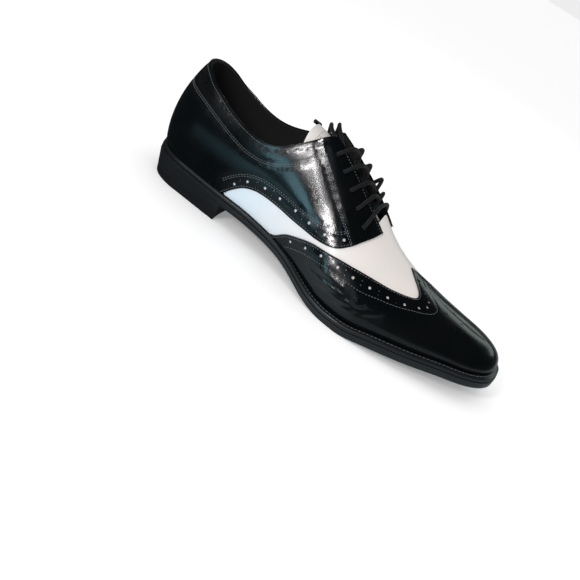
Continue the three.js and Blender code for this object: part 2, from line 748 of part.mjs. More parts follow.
// Lace rows: a straight bar at the bottom, crossings above it
const laceLift = FACING + LACE_REST + LACE_DIAMETER / 2
const eyelet = i => ({ u: EYELETS.along + i * EYELETS.alongStep, girth: EYELETS.girth + i * EYELETS.girthStep })
const STRAND_RUN = 0.027 // a strand moves this share forward to the middle of the gap
const BAR_STOP = 0.55 // the lowest crossing moves less, because the bar stops it
const STRAND_SAG = 4 // and hangs this far below the facings there
const STANDING = { row: 2, rise: 3.5 } // the one crossing whose inner strand stands up in a loop
function strand (side, i) {
  const { u, girth } = eyelet(i)
  const rise = side === INNER && i === STANDING.row ? STANDING.rise : 0
  const run = i === EYELETS.count - 2 ? BAR_STOP * STRAND_RUN : STRAND_RUN
  const start = offLast(side, u, girth, laceLift)
  const rim = offLast(side, u + run * 0.65, FACING_GIRTH, laceLift + LACE_REST + rise)
  const between = offLast(side, u + run * 0.3, (girth + FACING_GIRTH) / 2, laceLift + rise / 2)
  const far = offLast(-side, u + run * 1.35, FACING_GIRTH, laceLift + LACE_REST)
  const cross = rim.clone().lerp(far, 0.5)
  cross.z -= STRAND_SAG + rise / 2
  const dive = tongueFace(-side, cross.x / LENGTH + run / 3, 0.9)
  dive.z += LACE_DIAMETER / 2 + 2 * LACE_REST
  return [start, between, rim, cross, dive]
}
function bar (i) {
  const { u, girth } = eyelet(i)
  const half = side => [girth, (girth + FACING_GIRTH) / 2, FACING_GIRTH].map(g => offLast(side, u, g, laceLift))
  return [...half(OUTER), ...half(INNER).reverse()]
}
for (let i = 0; i < EYELETS.count; i++) {
  const tight = 2.6 * LACE_DIAMETER
  const geometry = i === EYELETS.count - 1
    ? lace(bar(i), tight)
    : toGeometry(toSolid(lace(strand(OUTER, i), tight)).add(toSolid(lace(strand(INNER, i), tight))))
  add(`lace_row_${i + 1}`, geometry, LACE)
}

// Free ends: they leave the gap at the top, arch over the inner facing into a knot on the inner side.
// One hangs down from the knot; the other comes back over the top edge and lies on the tongue.
const KNOT = { x: 106, y: 29.4, z: 77, radiusX: 6, radiusY: 4.5, radiusZ: 7 }
const ENDS = {
  lace_arch_outer: [
    [128, -8, 90.4], [122.8, -5.5, 94], [116.8, -1, 97.6], [110.5, 4, 99.9], [107, 10.5, 100.5],
    [105, 18, 98], [104.2, 24, 93.2], [104.2, 28.2, 88], [104.8, 29.4, 84.3]
  ],
  lace_arch_inner: [
    [128, 6.5, 89.3], [122.5, 7.5, 94], [116.8, 10, 98.8], [111.8, 14, 102], [110, 19.5, 101.5],
    [109.4, 25, 96.4], [108.8, 28.8, 90], [108.2, 29.6, 84.3]
  ],
  lace_tail_hanging: [
    [105.5, 29.4, 69.9], [105, 29.6, 64], [104.2, 29.9, 57], [103.4, 30, 49], [103, 29.9, 41],
    [103.2, 29.7, 33], [104, 29.5, 25], [105, 29.5, 19], [105.6, 29.6, 14.5]
  ],
  lace_tail_tongue: [
    [98.9, 29.4, 77], [96, 29.8, 80], [95.2, 28.8, 85.5], [96, 25.4, 90], [96.8, 20.5, 92.6],
    [97, 16.8, 93.6], [96.2, 13.6, 94.6], [94.8, 11, 95.4]
  ]
}
const knot = new THREE.SphereGeometry(1, 10, 7)
add('lace_knot', knot.scale(KNOT.radiusX, KNOT.radiusY, KNOT.radiusZ).translate(KNOT.x, KNOT.y, KNOT.z), LACE)
for (const [name, points] of Object.entries(ENDS)) {
  add(name, lace(points.map(point => new THREE.Vector3(...point))), LACE)
}

export default model
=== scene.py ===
import math

import bmesh
import bpy
import numpy as np
from mathutils import Matrix, Vector
from mathutils.geometry import delaunay_2d_cdt


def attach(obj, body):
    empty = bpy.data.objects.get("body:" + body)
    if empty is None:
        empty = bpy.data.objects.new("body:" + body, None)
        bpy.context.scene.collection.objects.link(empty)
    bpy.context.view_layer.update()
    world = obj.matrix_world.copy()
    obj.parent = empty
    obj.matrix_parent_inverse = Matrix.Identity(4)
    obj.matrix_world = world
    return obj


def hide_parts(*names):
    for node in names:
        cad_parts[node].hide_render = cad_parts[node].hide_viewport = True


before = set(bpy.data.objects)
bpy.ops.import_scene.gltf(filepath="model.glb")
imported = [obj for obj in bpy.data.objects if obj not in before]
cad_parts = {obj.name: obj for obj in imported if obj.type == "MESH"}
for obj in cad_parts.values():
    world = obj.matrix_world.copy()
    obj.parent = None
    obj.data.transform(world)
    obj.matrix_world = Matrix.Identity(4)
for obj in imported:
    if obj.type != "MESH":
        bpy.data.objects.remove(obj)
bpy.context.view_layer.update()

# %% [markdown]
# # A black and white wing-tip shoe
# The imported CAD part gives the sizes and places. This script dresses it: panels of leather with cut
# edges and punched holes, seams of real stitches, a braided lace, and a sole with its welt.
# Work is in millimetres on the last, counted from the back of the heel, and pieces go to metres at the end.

# %% [markdown]
# ## Camera
# The photograph looks down on the outer side of the shoe, which is tilted heel-up there. Here it stands
# flat on its sole. Turning the shoe would lift it off the floor, so the camera keeps its angle to the shoe
# and is rolled.

# %% Camera
CAMERA_PLACE = Vector((0.2203, -0.5526, 0.2527))
CAMERA_AIM = Vector((0.1132, 0.0, -0.0226))
CAMERA_ROLL = 32.08
camera = bpy.data.objects.new("camera", bpy.data.cameras.new("camera"))
camera.data.sensor_width = 36
camera.data.lens = 50.05
camera.data.clip_start = 0.01
look = (CAMERA_AIM - CAMERA_PLACE).to_track_quat("-Z", "Y").to_matrix().to_4x4()
roll = Matrix.Rotation(math.radians(CAMERA_ROLL), 4, "Z")
camera.matrix_world = Matrix.Translation(CAMERA_PLACE) @ look @ roll
bpy.context.scene.collection.objects.link(camera)
bpy.context.scene.camera = camera
print("camera", tuple(round(value, 3) for value in CAMERA_PLACE))

# %% [markdown]
# ## The last
# Every leather piece was once pulled over one wooden form, the last. The same form is worked out here from
# shares of a few sizes, as the CAD source does, so each panel can be cut flat and then laid on it. A place
# on it has two numbers: the share of the way round from heel to toe, and the share of the girth, which runs
# from 0 at the outer foot over 1 at the ridge to 2 at the inner foot.

# %% Driving sizes, in millimetres
LENGTH = 310
BALL_WIDTH = 108
INSTEP_HEIGHT = 117
BACK_HEIGHT = 95
HEEL_HEIGHT = 16.5
TOE_SPRING = 15.2
HEEL_LENGTH = 75
HEEL_TAPER = 1.4
HEEL_RAKE = 4.5
HEEL_SET = 1.5
BREAST_HOLLOW = 3
LIFT_THICKNESS = 4.2
SOLE_THICKNESS = 4.8
WELT_THICKNESS = 3
WELT_STEP = 0.7
FACING = 0.7
TONGUE_THICKNESS = 1.8
LACE = 3
GAP = 0.3
HEEL_SEAT = 35
OUTER, INNER = -1, 1

# %% Shares of those sizes along the shoe
# At, outer half width, inner half width, middle
PLAN = [
    (0.00, 0.280, 0.280, 0.018), (0.10, 0.284, 0.284, 0.018), (0.22, 0.290, 0.278, 0.004),
    (0.34, 0.304, 0.236, 0.000), (0.46, 0.375, 0.245, 0.000), (0.56, 0.488, 0.350, 0.000),
    (0.64, 0.525, 0.440, 0.000), (0.72, 0.497, 0.465, 0.000), (0.80, 0.445, 0.432, 0.004),
    (0.90, 0.350, 0.350, 0.014), (1.00, 0.275, 0.275, 0.022),
]
# At, share of the heel height, share of the toe spring
UNDERSIDE = [
    (0.00, 1.00, 0.00), (0.10, 0.86, 0.00), (0.22, 0.81, 0.00), (0.32, 0.810, 0.00), (0.44, 0.625, 0.00),
    (0.50, 0.35, 0.00), (0.54, 0.165, 0.00), (0.57, 0.06, 0.00), (0.60, -0.005, 0.00), (0.66, 0.00, 0.01),
    (0.72, 0.00, 0.21), (0.82, 0.00, 0.51), (0.92, 0.00, 0.82), (1.00, 0.00, 1.00),
]
# At, share of the sole's thickness
SOLE = [(0.00, 1.00), (0.25, 0.95), (0.42, 0.72), (0.58, 0.80), (0.72, 1.00), (1.00, 1.00)]
# At, millimetres from the sole's edge to the upper's foot
LEDGE = [(0.00, 1.6), (0.20, 1.8), (0.42, 2.6), (0.60, 5.8), (1.00, 5.8)]
# At, height of the ridge, its place sideways
RIDGE = [
    (0.08, 1.008, 0.000), (0.20, 1.000, 0.000), (0.30, 1.000, 0.010), (0.38, 0.957, 0.020),
    (0.44, 0.876, 0.030), (0.50, 0.765, 0.035), (0.56, 0.641, 0.035), (0.62, 0.521, 0.030),
    (0.68, 0.443, 0.030), (0.75, 0.385, 0.030), (0.82, 0.350, 0.030), (0.89, 0.329, 0.030),
    (0.95, 0.316, 0.030),
]
# At, roundness of the section, its swell
SECTION = [
    (0.00, 2.70, 0.056), (0.08, 2.25, 0.045), (0.17, 2.15, 0.038), (0.30, 2.28, 0.037),
    (0.40, 2.05, 0.037), (0.50, 1.85, 0.042), (0.60, 1.75, 0.042), (0.70, 1.80, 0.036),
    (0.80, 2.00, 0.027), (0.90, 2.20, 0.019), (1.00, 2.30, 0.019),
]
# At, top edge as shares of the back's and the instep's height, and how much higher the inner side is
TOPLINE = [
    (-0.04, 0.985, 0.000, 0.000), (0.024, 0.977, 0.000, 0.000), (0.057, 0.945, 0.000, -0.020),
    (0.086, 0.900, 0.000, -0.028), (0.118, 0.860, 0.000, -0.016), (0.167, 0.804, 0.000, 0.000),
    (0.215, 0.775, 0.000, 0.020), (0.252, 0.768, 0.000, 0.050), (0.279, 0.390, 0.317, 0.070),
    (0.304, 0.000, 0.667, 0.065), (0.326, 0.000, 0.714, 0.045), (0.352, 0.000, 0.779, 0.020),
    (0.380, 0.000, 0.855, 0.000), (0.395, 0.000, 0.878, 0.000), (0.410, 0.000, 0.925, 0.000),
]
# At, half width of the opening between the facings
THROAT = [(0.370, 0.124), (0.420, 0.120), (0.530, 0.117), (0.565, 0.112), (0.600, 0.098), (0.620, 0.080)]


def smooth(rows, column):
    """A smooth curve through one column of a table."""
    x = np.array([row[0] for row in rows])
    y = np.array([row[column] for row in rows])
    step = np.diff(x)
    rate = np.diff(y) / step
    slope = np.concatenate(
        (rate[:1], (step[:-1] * rate[1:] + step[1:] * rate[:-1]) / (step[:-1] + step[1:]), rate[-1:])
    )

    def value(at):
        at = np.clip(at, x[0], x[-1])
        i = np.clip(np.searchsorted(x, at, side="right") - 1, 0, len(x) - 2)
        t = (at - x[i]) / step[i]
        low = (1 + 2 * t) * (1 - t) ** 2 * y[i] + t * (1 - t) ** 2 * step[i] * slope[i]
        return low + t * t * (3 - 2 * t) * y[i + 1] + t * t * (t - 1) * step[i] * slope[i + 1]

    return value


outer_half, inner_half, middle = (smooth(PLAN, column) for column in (1, 2, 3))
heel_share, toe_share, sole_share = smooth(UNDERSIDE, 1), smooth(UNDERSIDE, 2), smooth(SOLE, 1)
ledge = smooth(LEDGE, 1)
ridge_up, ridge_side = smooth(RIDGE, 1), smooth(RIDGE, 2)
roundness, swell = smooth(SECTION, 1), smooth(SECTION, 2)
back_part, instep_part, inner_part = (smooth(TOPLINE, column) for column in (1, 2, 3))
throat_half = smooth(THROAT, 1)


def underside(at):
    return np.maximum(0, HEEL_HEIGHT * heel_share(at) + TOE_SPRING * toe_share(at))


def sole_top(at):
    return underside(at) + SOLE_THICKNESS * sole_share(at)


def welt_top(at):
    return sole_top(at) + GAP + WELT_THICKNESS


print("the sole is", round(float(sole_top(0.5) - underside(0.5)), 2), "mm thick under the arch")

# %% The way round: outline of the sole and ridge of the last
HEEL_ROUND = (32, 2.2)
TOE_ROUND = (32, 2.5)
RIDGE_BACK = 2
RIDGE_TOE = 5.5
TOE_SLOPE = 17
FAN = 0.35
HEEL_FAN = 20


def way_round(u, start, end):
    """Distance forward and relative half width at a share of the way from heel to toe."""
    quarter = math.pi / 2
    heel, toe = HEEL_ROUND[0], TOE_ROUND[0]
    whole = end - start - heel - toe + (heel + toe) * quarter
    heel_part, toe_part = heel * quarter / whole, toe * quarter / whole
    back = np.cos(quarter * np.clip(u / heel_part, 0, 1))
    front = np.cos(quarter * np.clip((1 - u) / toe_part, 0, 1))
    x = start + heel + (u - heel_part) * whole
    x = np.where(u < heel_part, start + heel * (1 - back), x)
    x = np.where(u > 1 - toe_part, end - toe * (1 - front), x)
    half = np.where(u < heel_part, (1 - back ** HEEL_ROUND[1]) ** (1 / HEEL_ROUND[1]), 1.0)
    half = np.where(u > 1 - toe_part, (1 - front ** TOE_ROUND[1]) ** (1 / TOE_ROUND[1]), half)
    return x, half, whole


def edge(side, u):
    """The sole's outline on one side."""
    x, half, _ = way_round(u, HEEL_SET, LENGTH)
    width = (outer_half if side == OUTER else inner_half)(x / LENGTH)
    return np.stack((x, BALL_WIDTH * (middle(x / LENGTH) + side * width * half)), -1)


def drawn_in(side, u, inset):
    """The same outline, drawn in by inset millimetres."""
    step = 1e-4
    here = edge(side, u)
    way = edge(side, np.minimum(1, u + step)) - edge(side, np.maximum(0, u - step))
    way /= np.linalg.norm(way, axis=-1, keepdims=True)
    depth = inset(here[..., 0] / LENGTH)
    at_end = (u <= 0) | (u >= 1)
    x = here[..., 0] + side * way[..., 1] * depth
    y = np.where(at_end, here[..., 1], here[..., 1] - side * way[..., 0] * depth)
    return np.stack((x, y), -1)


def ridge(u):
    """The ridge of the last, whose girth lines fan out round the heel and the toe."""
    start, end = RIDGE_BACK, LENGTH - RIDGE_TOE
    x, _, whole = way_round(u, start, end)
    spread = whole * FAN
    toe_from = end - TOE_SLOPE
    slow = 2 * (toe_from - way_round(np.array(1 - FAN), start, end)[0]) - spread
    k = (1 - u) / FAN
    place = np.where(u > 1 - FAN, toe_from - (slow * k + (spread - slow) * k * k / 2), x)
    k = u / FAN
    heel_to = way_round(np.array(FAN), start, end)[0]
    fan = heel_to - (HEEL_FAN + spread) / 2 + HEEL_FAN * k + (spread - HEEL_FAN) * k * k / 2
    place = np.where(u < FAN, fan, place)
    at = place / LENGTH
    return np.stack((place, BALL_WIDTH * ridge_side(at), INSTEP_HEIGHT * ridge_up(at)), -1)


# %% Section and girth of the last
def section(side, u, turn):
    """A point of the section at u, from turn 0 at the foot to 1 at the ridge."""
    flat = drawn_in(side, u, ledge)
    at = flat[..., 0] / LENGTH
    foot = np.concatenate((flat, welt_top(at)[..., None]), -1)
    top = ridge(u)
    power = 2 / roundness(at)
    angle = turn * math.pi / 2
    up = np.sin(angle) ** power
    inward = 1 - np.maximum(0, np.cos(angle)) ** power
    across = top[..., :2] - foot[..., :2]
    reach = np.linalg.norm(across, axis=-1)
    puff = BALL_WIDTH * swell(at) * np.sin(math.pi * up ** 0.75) * (1 - inward) / reach
    plan = foot[..., :2] + across * (inward - puff)[..., None]
    height = foot[..., 2] + (top[..., 2] - foot[..., 2]) * up
    return np.concatenate((plan, height[..., None]), -1)


def last(side, u, girth):
    """The last's surface at u and a share of the girth from foot to ridge."""
    turns = np.linspace(0, 1, 49)
    line = section(side, u[:, None], np.broadcast_to(turns, (len(u), 49)))
    run = np.concatenate(
        (np.zeros((len(u), 1)), np.cumsum(np.linalg.norm(np.diff(line, axis=1), axis=2), 1)), 1
    )
    goal = np.clip(girth, 0, 1) * run[:, -1]
    i = np.clip((run <= goal[:, None]).sum(1) - 1, 0, 47)
    rows = np.arange(len(u))
    share = (goal - run[rows, i]) / (run[rows, i + 1] - run[rows, i])
    return section(side, u, (i + share) / 48)


def surface(u, girth):
    """The last over both sides: girth 0 to 1 on the outer side, 1 to 2 on the inner side."""
    u, girth = np.atleast_1d(np.asarray(u, float)), np.atleast_1d(np.asarray(girth, float))
    outer = last(OUTER, u, girth)
    inner = last(INNER, u, 2 - girth)
    return np.where((girth <= 1)[:, None], outer, inner)


def upright(u, girth):
    """Unit vectors that point straight off the last."""
    u, girth = np.atleast_1d(np.asarray(u, float)), np.atleast_1d(np.asarray(girth, float))
    step = 0.004
    du = surface(np.minimum(1, u + step), girth) - surface(np.maximum(0, u - step), girth)
    dg = surface(u, np.minimum(2, girth + step)) - surface(u, np.maximum(0, girth - step))
    off = np.cross(du, dg)
    off[(u <= 1e-6) | (u >= 1 - 1e-6), 1] = 0
    return off / np.linalg.norm(off, axis=1, keepdims=True)


def on_last(u, girth, lift=0.0):
    """Points lifted off the last, in metres in the part's own frame."""
    u, girth = np.clip(u, 0, 1), np.clip(girth, 0, 2)
    lifts = np.broadcast_to(lift, np.shape(np.atleast_1d(u)))
    points = surface(u, girth) + upright(u, girth) * lifts[:, None]
    return (points - [HEEL_SEAT, 0, 0]) / 1000


print("ridge over the instep is at", on_last([0.4], [1.0])[0].round(4), "m")

# %% [markdown]
# ## Edges of the panels
# The top edge and the opening between the facings are known as heights and widths, so their girth is found
# by halving. The other edges are short lists of places, read off the photograph on the outer side. The
# inner side of such a shoe mirrors them.

# %% Where the top edge and the opening lie
def girth_where(side, u, above):
    """The girth share on one side at which above(points) turns positive."""
    u = np.atleast_1d(np.asarray(u, float))
    low, high = np.zeros(len(u)), np.ones(len(u))
    for _ in range(22):
        half = (low + high) / 2
        over = above(last(side, u, half)) > 0
        high = np.where(over, half, high)
        low = np.where(over, low, half)
    return low


def top_girth(side, u):
    """Girth of the top edge behind, and of the facing's edge before it."""
    def above(points):
        at = points[:, 0] / LENGTH
        rise = BACK_HEIGHT * inner_part(at) if side == INNER else 0
        top = BACK_HEIGHT * back_part(at) + INSTEP_HEIGHT * instep_part(at) + rise
        collar = np.where(at < TOPLINE[-1][0], points[:, 2] - top, -1.0)
        throat = np.where(at > THROAT[0][0], BALL_WIDTH * throat_half(at) - side * points[:, 1], -1.0)
        return np.maximum(collar, throat)

    return girth_where(side, u, above)


# Share of the way round and of the girth, on the outer side
WING_EDGE = [
    (0.392, 0.000), (0.398, 0.010), (0.425, 0.100), (0.452, 0.165), (0.482, 0.235), (0.519, 0.299),
    (0.580, 0.399), (0.642, 0.488), (0.679, 0.528), (0.715, 0.594), (0.729, 0.637), (0.734, 0.690),
    (0.733, 0.732), (0.727, 0.790), (0.717, 0.845), (0.706, 0.895), (0.695, 0.948), (0.684, 1.000),
]
QUARTER_EDGE = [
    (0.256, 0.000), (0.274, 0.076), (0.295, 0.139), (0.320, 0.175), (0.349, 0.192), (0.381, 0.201),
    (0.424, 0.216), (0.448, 0.235), (0.484, 0.277), (0.517, 0.338), (0.534, 0.385), (0.554, 0.476),
    (0.571, 0.600), (0.584, 0.719), (0.592, 0.834),
]
FACING_SEAM = [
    (0.376, 0.745), (0.379, 0.714), (0.422, 0.642), (0.470, 0.578), (0.513, 0.537), (0.557, 0.502)
]
COLLAR_SEAM = [
    (0.000, 0.500), (0.070, 0.471), (0.128, 0.456), (0.171, 0.426), (0.218, 0.392), (0.264, 0.366),
    (0.304, 0.376), (0.331, 0.411), (0.358, 0.473), (0.381, 0.552), (0.400, 0.640),
]
QUARTER_HOLES = [
    (0.274, 0.124), (0.297, 0.195), (0.337, 0.238), (0.376, 0.255), (0.418, 0.278),
    (0.456, 0.303), (0.496, 0.358), (0.536, 0.466),
]
WING_HOLES = [
    (0.443, 0.097), (0.477, 0.171), (0.514, 0.248), (0.558, 0.308), (0.597, 0.351), (0.639, 0.395),
    (0.681, 0.428), (0.718, 0.478), (0.748, 0.560), (0.764, 0.655), (0.762, 0.752), (0.744, 0.846),
    (0.716, 0.930),
]
WING_SEAM = [
    (0.437, 0.032), (0.475, 0.123), (0.524, 0.211), (0.576, 0.275), (0.623, 0.308), (0.662, 0.351),
    (0.704, 0.395), (0.739, 0.468), (0.766, 0.540), (0.786, 0.640), (0.788, 0.750), (0.772, 0.860),
    (0.742, 0.950), (0.732, 1.000),
]
MEDALLION = [
    (0.845, 1.000), (0.817, 0.813), (0.804, 0.649), (0.829, 0.714), (0.847, 0.599), (0.887, 0.662),
    (0.870, 0.850), (0.900, 1.000), (0.812, 1.000),
]
EYELETS = [(0.426 + 0.0315 * row, 0.757 - 0.023 * row) for row in range(5)]

SPAN = 330.0
GIRTH = 92.0


def flat(places):
    """Places on the last as rough millimetres on a flat pattern."""
    return np.asarray(places, float) * (SPAN, GIRTH)


def rounded(places, step=1.2):
    """A smooth line through places, with a point about every step millimetres."""
    places = np.asarray(places, float)
    run = np.concatenate(([0], np.cumsum(np.linalg.norm(np.diff(flat(places), axis=0), axis=1))))
    goal = np.linspace(0, run[-1], max(2, int(run[-1] / step) + 1))
    return np.stack([smooth(list(zip(run, places[:, k])), 1)(goal) for k in (0, 1)], -1)


def mirrored(places):
    """The same places on the inner side."""
    return np.asarray(places, float) * (1, -1) + (0, 2)


def offset(line, distance):
    """A line moved sideways on the flat pattern, to its left."""
    way = np.gradient(flat(line), axis=0)
    way /= np.linalg.norm(way, axis=1, keepdims=True)
    return (flat(line) + np.stack((-way[:, 1], way[:, 0]), -1) * distance) / (SPAN, GIRTH)


def nearest(places, line):
    """Distance in millimetres from each place to a line of the flat pattern."""
    points, line = flat(places), flat(line)
    best = np.full(len(points), 1e9)
    for a, b in zip(line[:-1], line[1:]):
        way = b - a
        t = np.clip(((points - a) @ way) / max(way @ way, 1e-9), 0, 1)
        best = np.minimum(best, np.linalg.norm(points - a - t[:, None] * way, axis=1))
    return best


print(
    "wing edge is about",
    round(float(np.linalg.norm(np.diff(flat(rounded(WING_EDGE)), axis=0), axis=1).sum())), "mm a side",
)

# %% [markdown]
# ## Finishes
# The shoe is dressed calf leather: black panels with a hard polish that mirrors the lights, and a white
# upper with a softer sheen. Each material below says what its real one is and what that gives the eye.

# %% One helper for colours and one for nodes
def linear(hexcode):
    """An sRGB hex colour as linear values for a shader."""
    parts = [int(hexcode[i:i + 2], 16) / 255 for i in (0, 2, 4)]
    return [c / 12.92 if c <= 0.04045 else ((c + 0.055) / 1.055) ** 2.4 for c in parts] + [1.0]


def add(tree, kind, settings=None, **links):
    """Adds a node, sets its properties, and fills or links its sockets by name."""
    node = tree.nodes.new(kind)
    for key, value in (settings or {}).items():
        setattr(node, key, value)
    for key, value in links.items():
        socket = node.inputs[int(key[1:])] if key[1:].isdigit() else node.inputs[key.replace("_", " ")]
        if isinstance(value, bpy.types.NodeSocket):
            tree.links.new(value, socket)
        else:
            socket.default_value = value
    return node


def shaded(name, **values):
    """A material with its Principled shader set."""
    material = bpy.data.materials.new(name)
    material.use_nodes = True
    tree = material.node_tree
    shader = tree.nodes["Principled BSDF"]
    for key, value in values.items():
        shader.inputs[key.replace("_", " ")].default_value = value
    material.diffuse_color = values["Base_Color"]
    return material, tree, shader


def bump(tree, shader, height, distance, strength=1.0):
    """Feeds a height in millimetres to the shader as bump."""
    node = add(tree, "ShaderNodeBump", Strength=strength, Distance=distance / 1000, Height=height)
    tree.links.new(node.outputs["Normal"], shader.inputs["Normal"])
    return node


# %% [markdown]
# ### Black calf
# Box calf under a hard polish: nearly black with a cold tint, a mirror where smooth, and broken into grains
# of about 0.8 mm where a light grazes it. Noise and cells in the bump give the grain without any picture.

# %% Black calf
black, tree, shader = shaded(
    "black_box_calf", Base_Color=linear("05080a"), Roughness=0.2, IOR=1.5, Coat_Weight=0.25,
    Coat_Roughness=0.1,
)
place = add(tree, "ShaderNodeTexCoord").outputs["Object"]
grain = add(tree, "ShaderNodeTexNoise", Vector=place, Scale=1500.0, Detail=3.0, Roughness=0.6)
pores = add(
    tree, "ShaderNodeTexVoronoi", {"feature": "SMOOTH_F1"}, Vector=place, Scale=1000.0, Smoothness=0.6
)
crinkle = add(
    tree, "ShaderNodeTexNoise", Vector=place, Scale=620.0, Detail=6.0, Roughness=0.72, Distortion=0.5
)
height = add(
    tree, "ShaderNodeMath", {"operation": "MULTIPLY_ADD"}, _0=crinkle.outputs[0], _1=2.2,
    _2=grain.outputs[0],
)
height = add(
    tree, "ShaderNodeMath", {"operation": "MULTIPLY_ADD"}, _0=pores.outputs[0], _1=0.8, _2=height.outputs[0]
)
bump(tree, shader, height.outputs[0], 0.06, 0.28)
cloud = add(tree, "ShaderNodeTexNoise", Vector=place, Scale=45.0, Detail=4.0)
worn = add(
    tree, "ShaderNodeMapRange", Value=cloud.outputs[0], From_Min=0.35, From_Max=0.7, To_Min=0.13,
    To_Max=0.25,
)
tree.links.new(worn.outputs[0], shader.inputs["Roughness"])

# %% [markdown]
# ### White calf
# Smooth white calf: a soft sheen and very fine pores. Its colour holds painted light: the white is warm over
# the vamp and tongue and cool low at the waist, as a cool lamp on one side and a warm one on the other would
# tint it, so the colour is mixed by place; a wide noise adds faint clouds of both.

# %% White calf
white, tree, shader = shaded(
    "white_calf", Base_Color=linear("f1f1f1"), Roughness=0.38, IOR=1.48, Coat_Weight=0.15,
    Coat_Roughness=0.25,
)
place = add(tree, "ShaderNodeTexCoord").outputs["Object"]
cloud = add(tree, "ShaderNodeTexNoise", Vector=place, Scale=28.0, Detail=3.0)
along = add(tree, "ShaderNodeSeparateXYZ", _0=place)
# Painted light: a cool tint low at the waist that fades towards the front and upwards, warm elsewhere.
painted_cool_light_and_cloud = add(
    tree, "ShaderNodeMapRange", Value=along.outputs[0], From_Min=0.05, From_Max=0.15, To_Min=0.85,
    To_Max=0.0,
)
low = add(
    tree, "ShaderNodeMapRange", Value=along.outputs[2], From_Min=0.05, From_Max=0.08, To_Min=1.0, To_Max=0.0
)
painted_cool_light_and_cloud = add(tree, "ShaderNodeMath", {"operation": "MULTIPLY"}, _0=painted_cool_light_and_cloud.outputs[0], _1=low.outputs[0])
painted_cool_light_and_cloud = add(
    tree, "ShaderNodeMath", {"operation": "MULTIPLY_ADD"}, _0=cloud.outputs[0], _1=0.3, _2=painted_cool_light_and_cloud.outputs[0]
)
# The warm and the cool white of the painted light, mixed by that mask and its clouds.
tint = add(
    tree, "ShaderNodeMix", {"data_type": "RGBA"}, _0=painted_cool_light_and_cloud.outputs[0], _6=linear("e3d9d2"),
    _7=linear("c9d8e2"),
)
tree.links.new(tint.outputs[2], shader.inputs["Base Color"])
grain = add(tree, "ShaderNodeTexNoise", Vector=place, Scale=1100.0, Detail=3.0)
folds = add(tree, "ShaderNodeTexNoise", Vector=place, Scale=150.0, Detail=4.0, Distortion=1.2)
height = add(
    tree, "ShaderNodeMath", {"operation": "MULTIPLY_ADD"}, _0=folds.outputs[0], _1=1.6, _2=grain.outputs[0]
)
bump(tree, shader, height.outputs[0], 0.04, 0.35)

# %% [markdown]
# ### Sole edge, lining, lace and thread
# The small finishes get one fine pattern each, at the size of the real pore, twist or strand.

# %% Sole edge and lining
# Sole edges are leather or rubber dressed with black wax: satin, with faint lines left by the iron.
waxed, tree, shader = shaded(
    "waxed_edge", Base_Color=linear("15181b"), Roughness=0.34, Coat_Weight=0.3, Coat_Roughness=0.2
)
place = add(tree, "ShaderNodeTexCoord").outputs["Object"]
flattened = add(tree, "ShaderNodeMapping", Vector=place, Scale=(60.0, 60.0, 1400.0))
lines = add(tree, "ShaderNodeTexNoise", Vector=flattened.outputs[0], Scale=1.0, Detail=3.0)
bump(tree, shader, lines.outputs[0], 0.06, 0.4)

# The lining is thin dyed pigskin: dark, dry, with fine pores.
lining, tree, shader = shaded("pigskin_lining", Base_Color=linear("1b1a1a"), Roughness=0.62)
place = add(tree, "ShaderNodeTexCoord").outputs["Object"]
pores = add(tree, "ShaderNodeTexVoronoi", Vector=place, Scale=800.0)
bump(tree, shader, pores.outputs[0], 0.05, 0.4)

# The insole's sock is plain leather rubbed by feet, a little lighter where it wears.
sock, tree, shader = shaded("sock_leather", Base_Color=linear("242221"), Roughness=0.55)
place = add(tree, "ShaderNodeTexCoord").outputs["Object"]
grain = add(tree, "ShaderNodeTexNoise", Vector=place, Scale=700.0, Detail=4.0)
bump(tree, shader, grain.outputs[0], 0.06, 0.5)
tint = add(
    tree, "ShaderNodeMix", {"data_type": "RGBA"}, _0=grain.outputs[0], _6=linear("1d1b1b"),
    _7=linear("2c2a28"),
)
tree.links.new(tint.outputs[2], shader.inputs["Base Color"])

# %% Lace, thread and lace tips
# Round waxed cotton lace: strands of about 0.6 mm braided at 40 degrees, drawn by the piece's own UV map.
cotton, tree, shader = shaded(
    "waxed_cotton", Base_Color=linear("0c0e10"), Roughness=0.42, Sheen_Weight=0.05
)
uv = add(tree, "ShaderNodeUVMap").outputs[0]
split = add(tree, "ShaderNodeSeparateXYZ", _0=uv)
STRANDS_ROUND = 5
STRAND_PITCH = 1.5
strands = []
for lean in (STRANDS_ROUND, -STRANDS_ROUND):
    run = add(
        tree, "ShaderNodeMath", {"operation": "MULTIPLY"}, _0=split.outputs[0],
        _1=math.tau * 1000 / STRAND_PITCH,
    )
    turn = add(
        tree, "ShaderNodeMath", {"operation": "MULTIPLY_ADD"}, _0=split.outputs[1], _1=math.tau * lean,
        _2=run.outputs[0],
    )
    strands.append(add(tree, "ShaderNodeMath", {"operation": "SINE"}, _0=turn.outputs[0]).outputs[0])
braid = add(tree, "ShaderNodeMath", {"operation": "MAXIMUM"}, _0=strands[0], _1=strands[1])
bump(tree, shader, braid.outputs[0], 0.16, 0.9)
# Painted shade: the lace's colour darkens between the strands, where the braid's bump lies low, and is
# lighter on their crests.
painted_braid_shade = add(tree, "ShaderNodeMapRange", Value=braid.outputs[0], From_Min=-0.4, From_Max=1.0)
tint = add(
    tree, "ShaderNodeMix", {"data_type": "RGBA"}, _0=painted_braid_shade.outputs[0], _6=linear("030304"),
    _7=linear("15181b"),
)
tree.links.new(tint.outputs[2], shader.inputs["Base Color"])

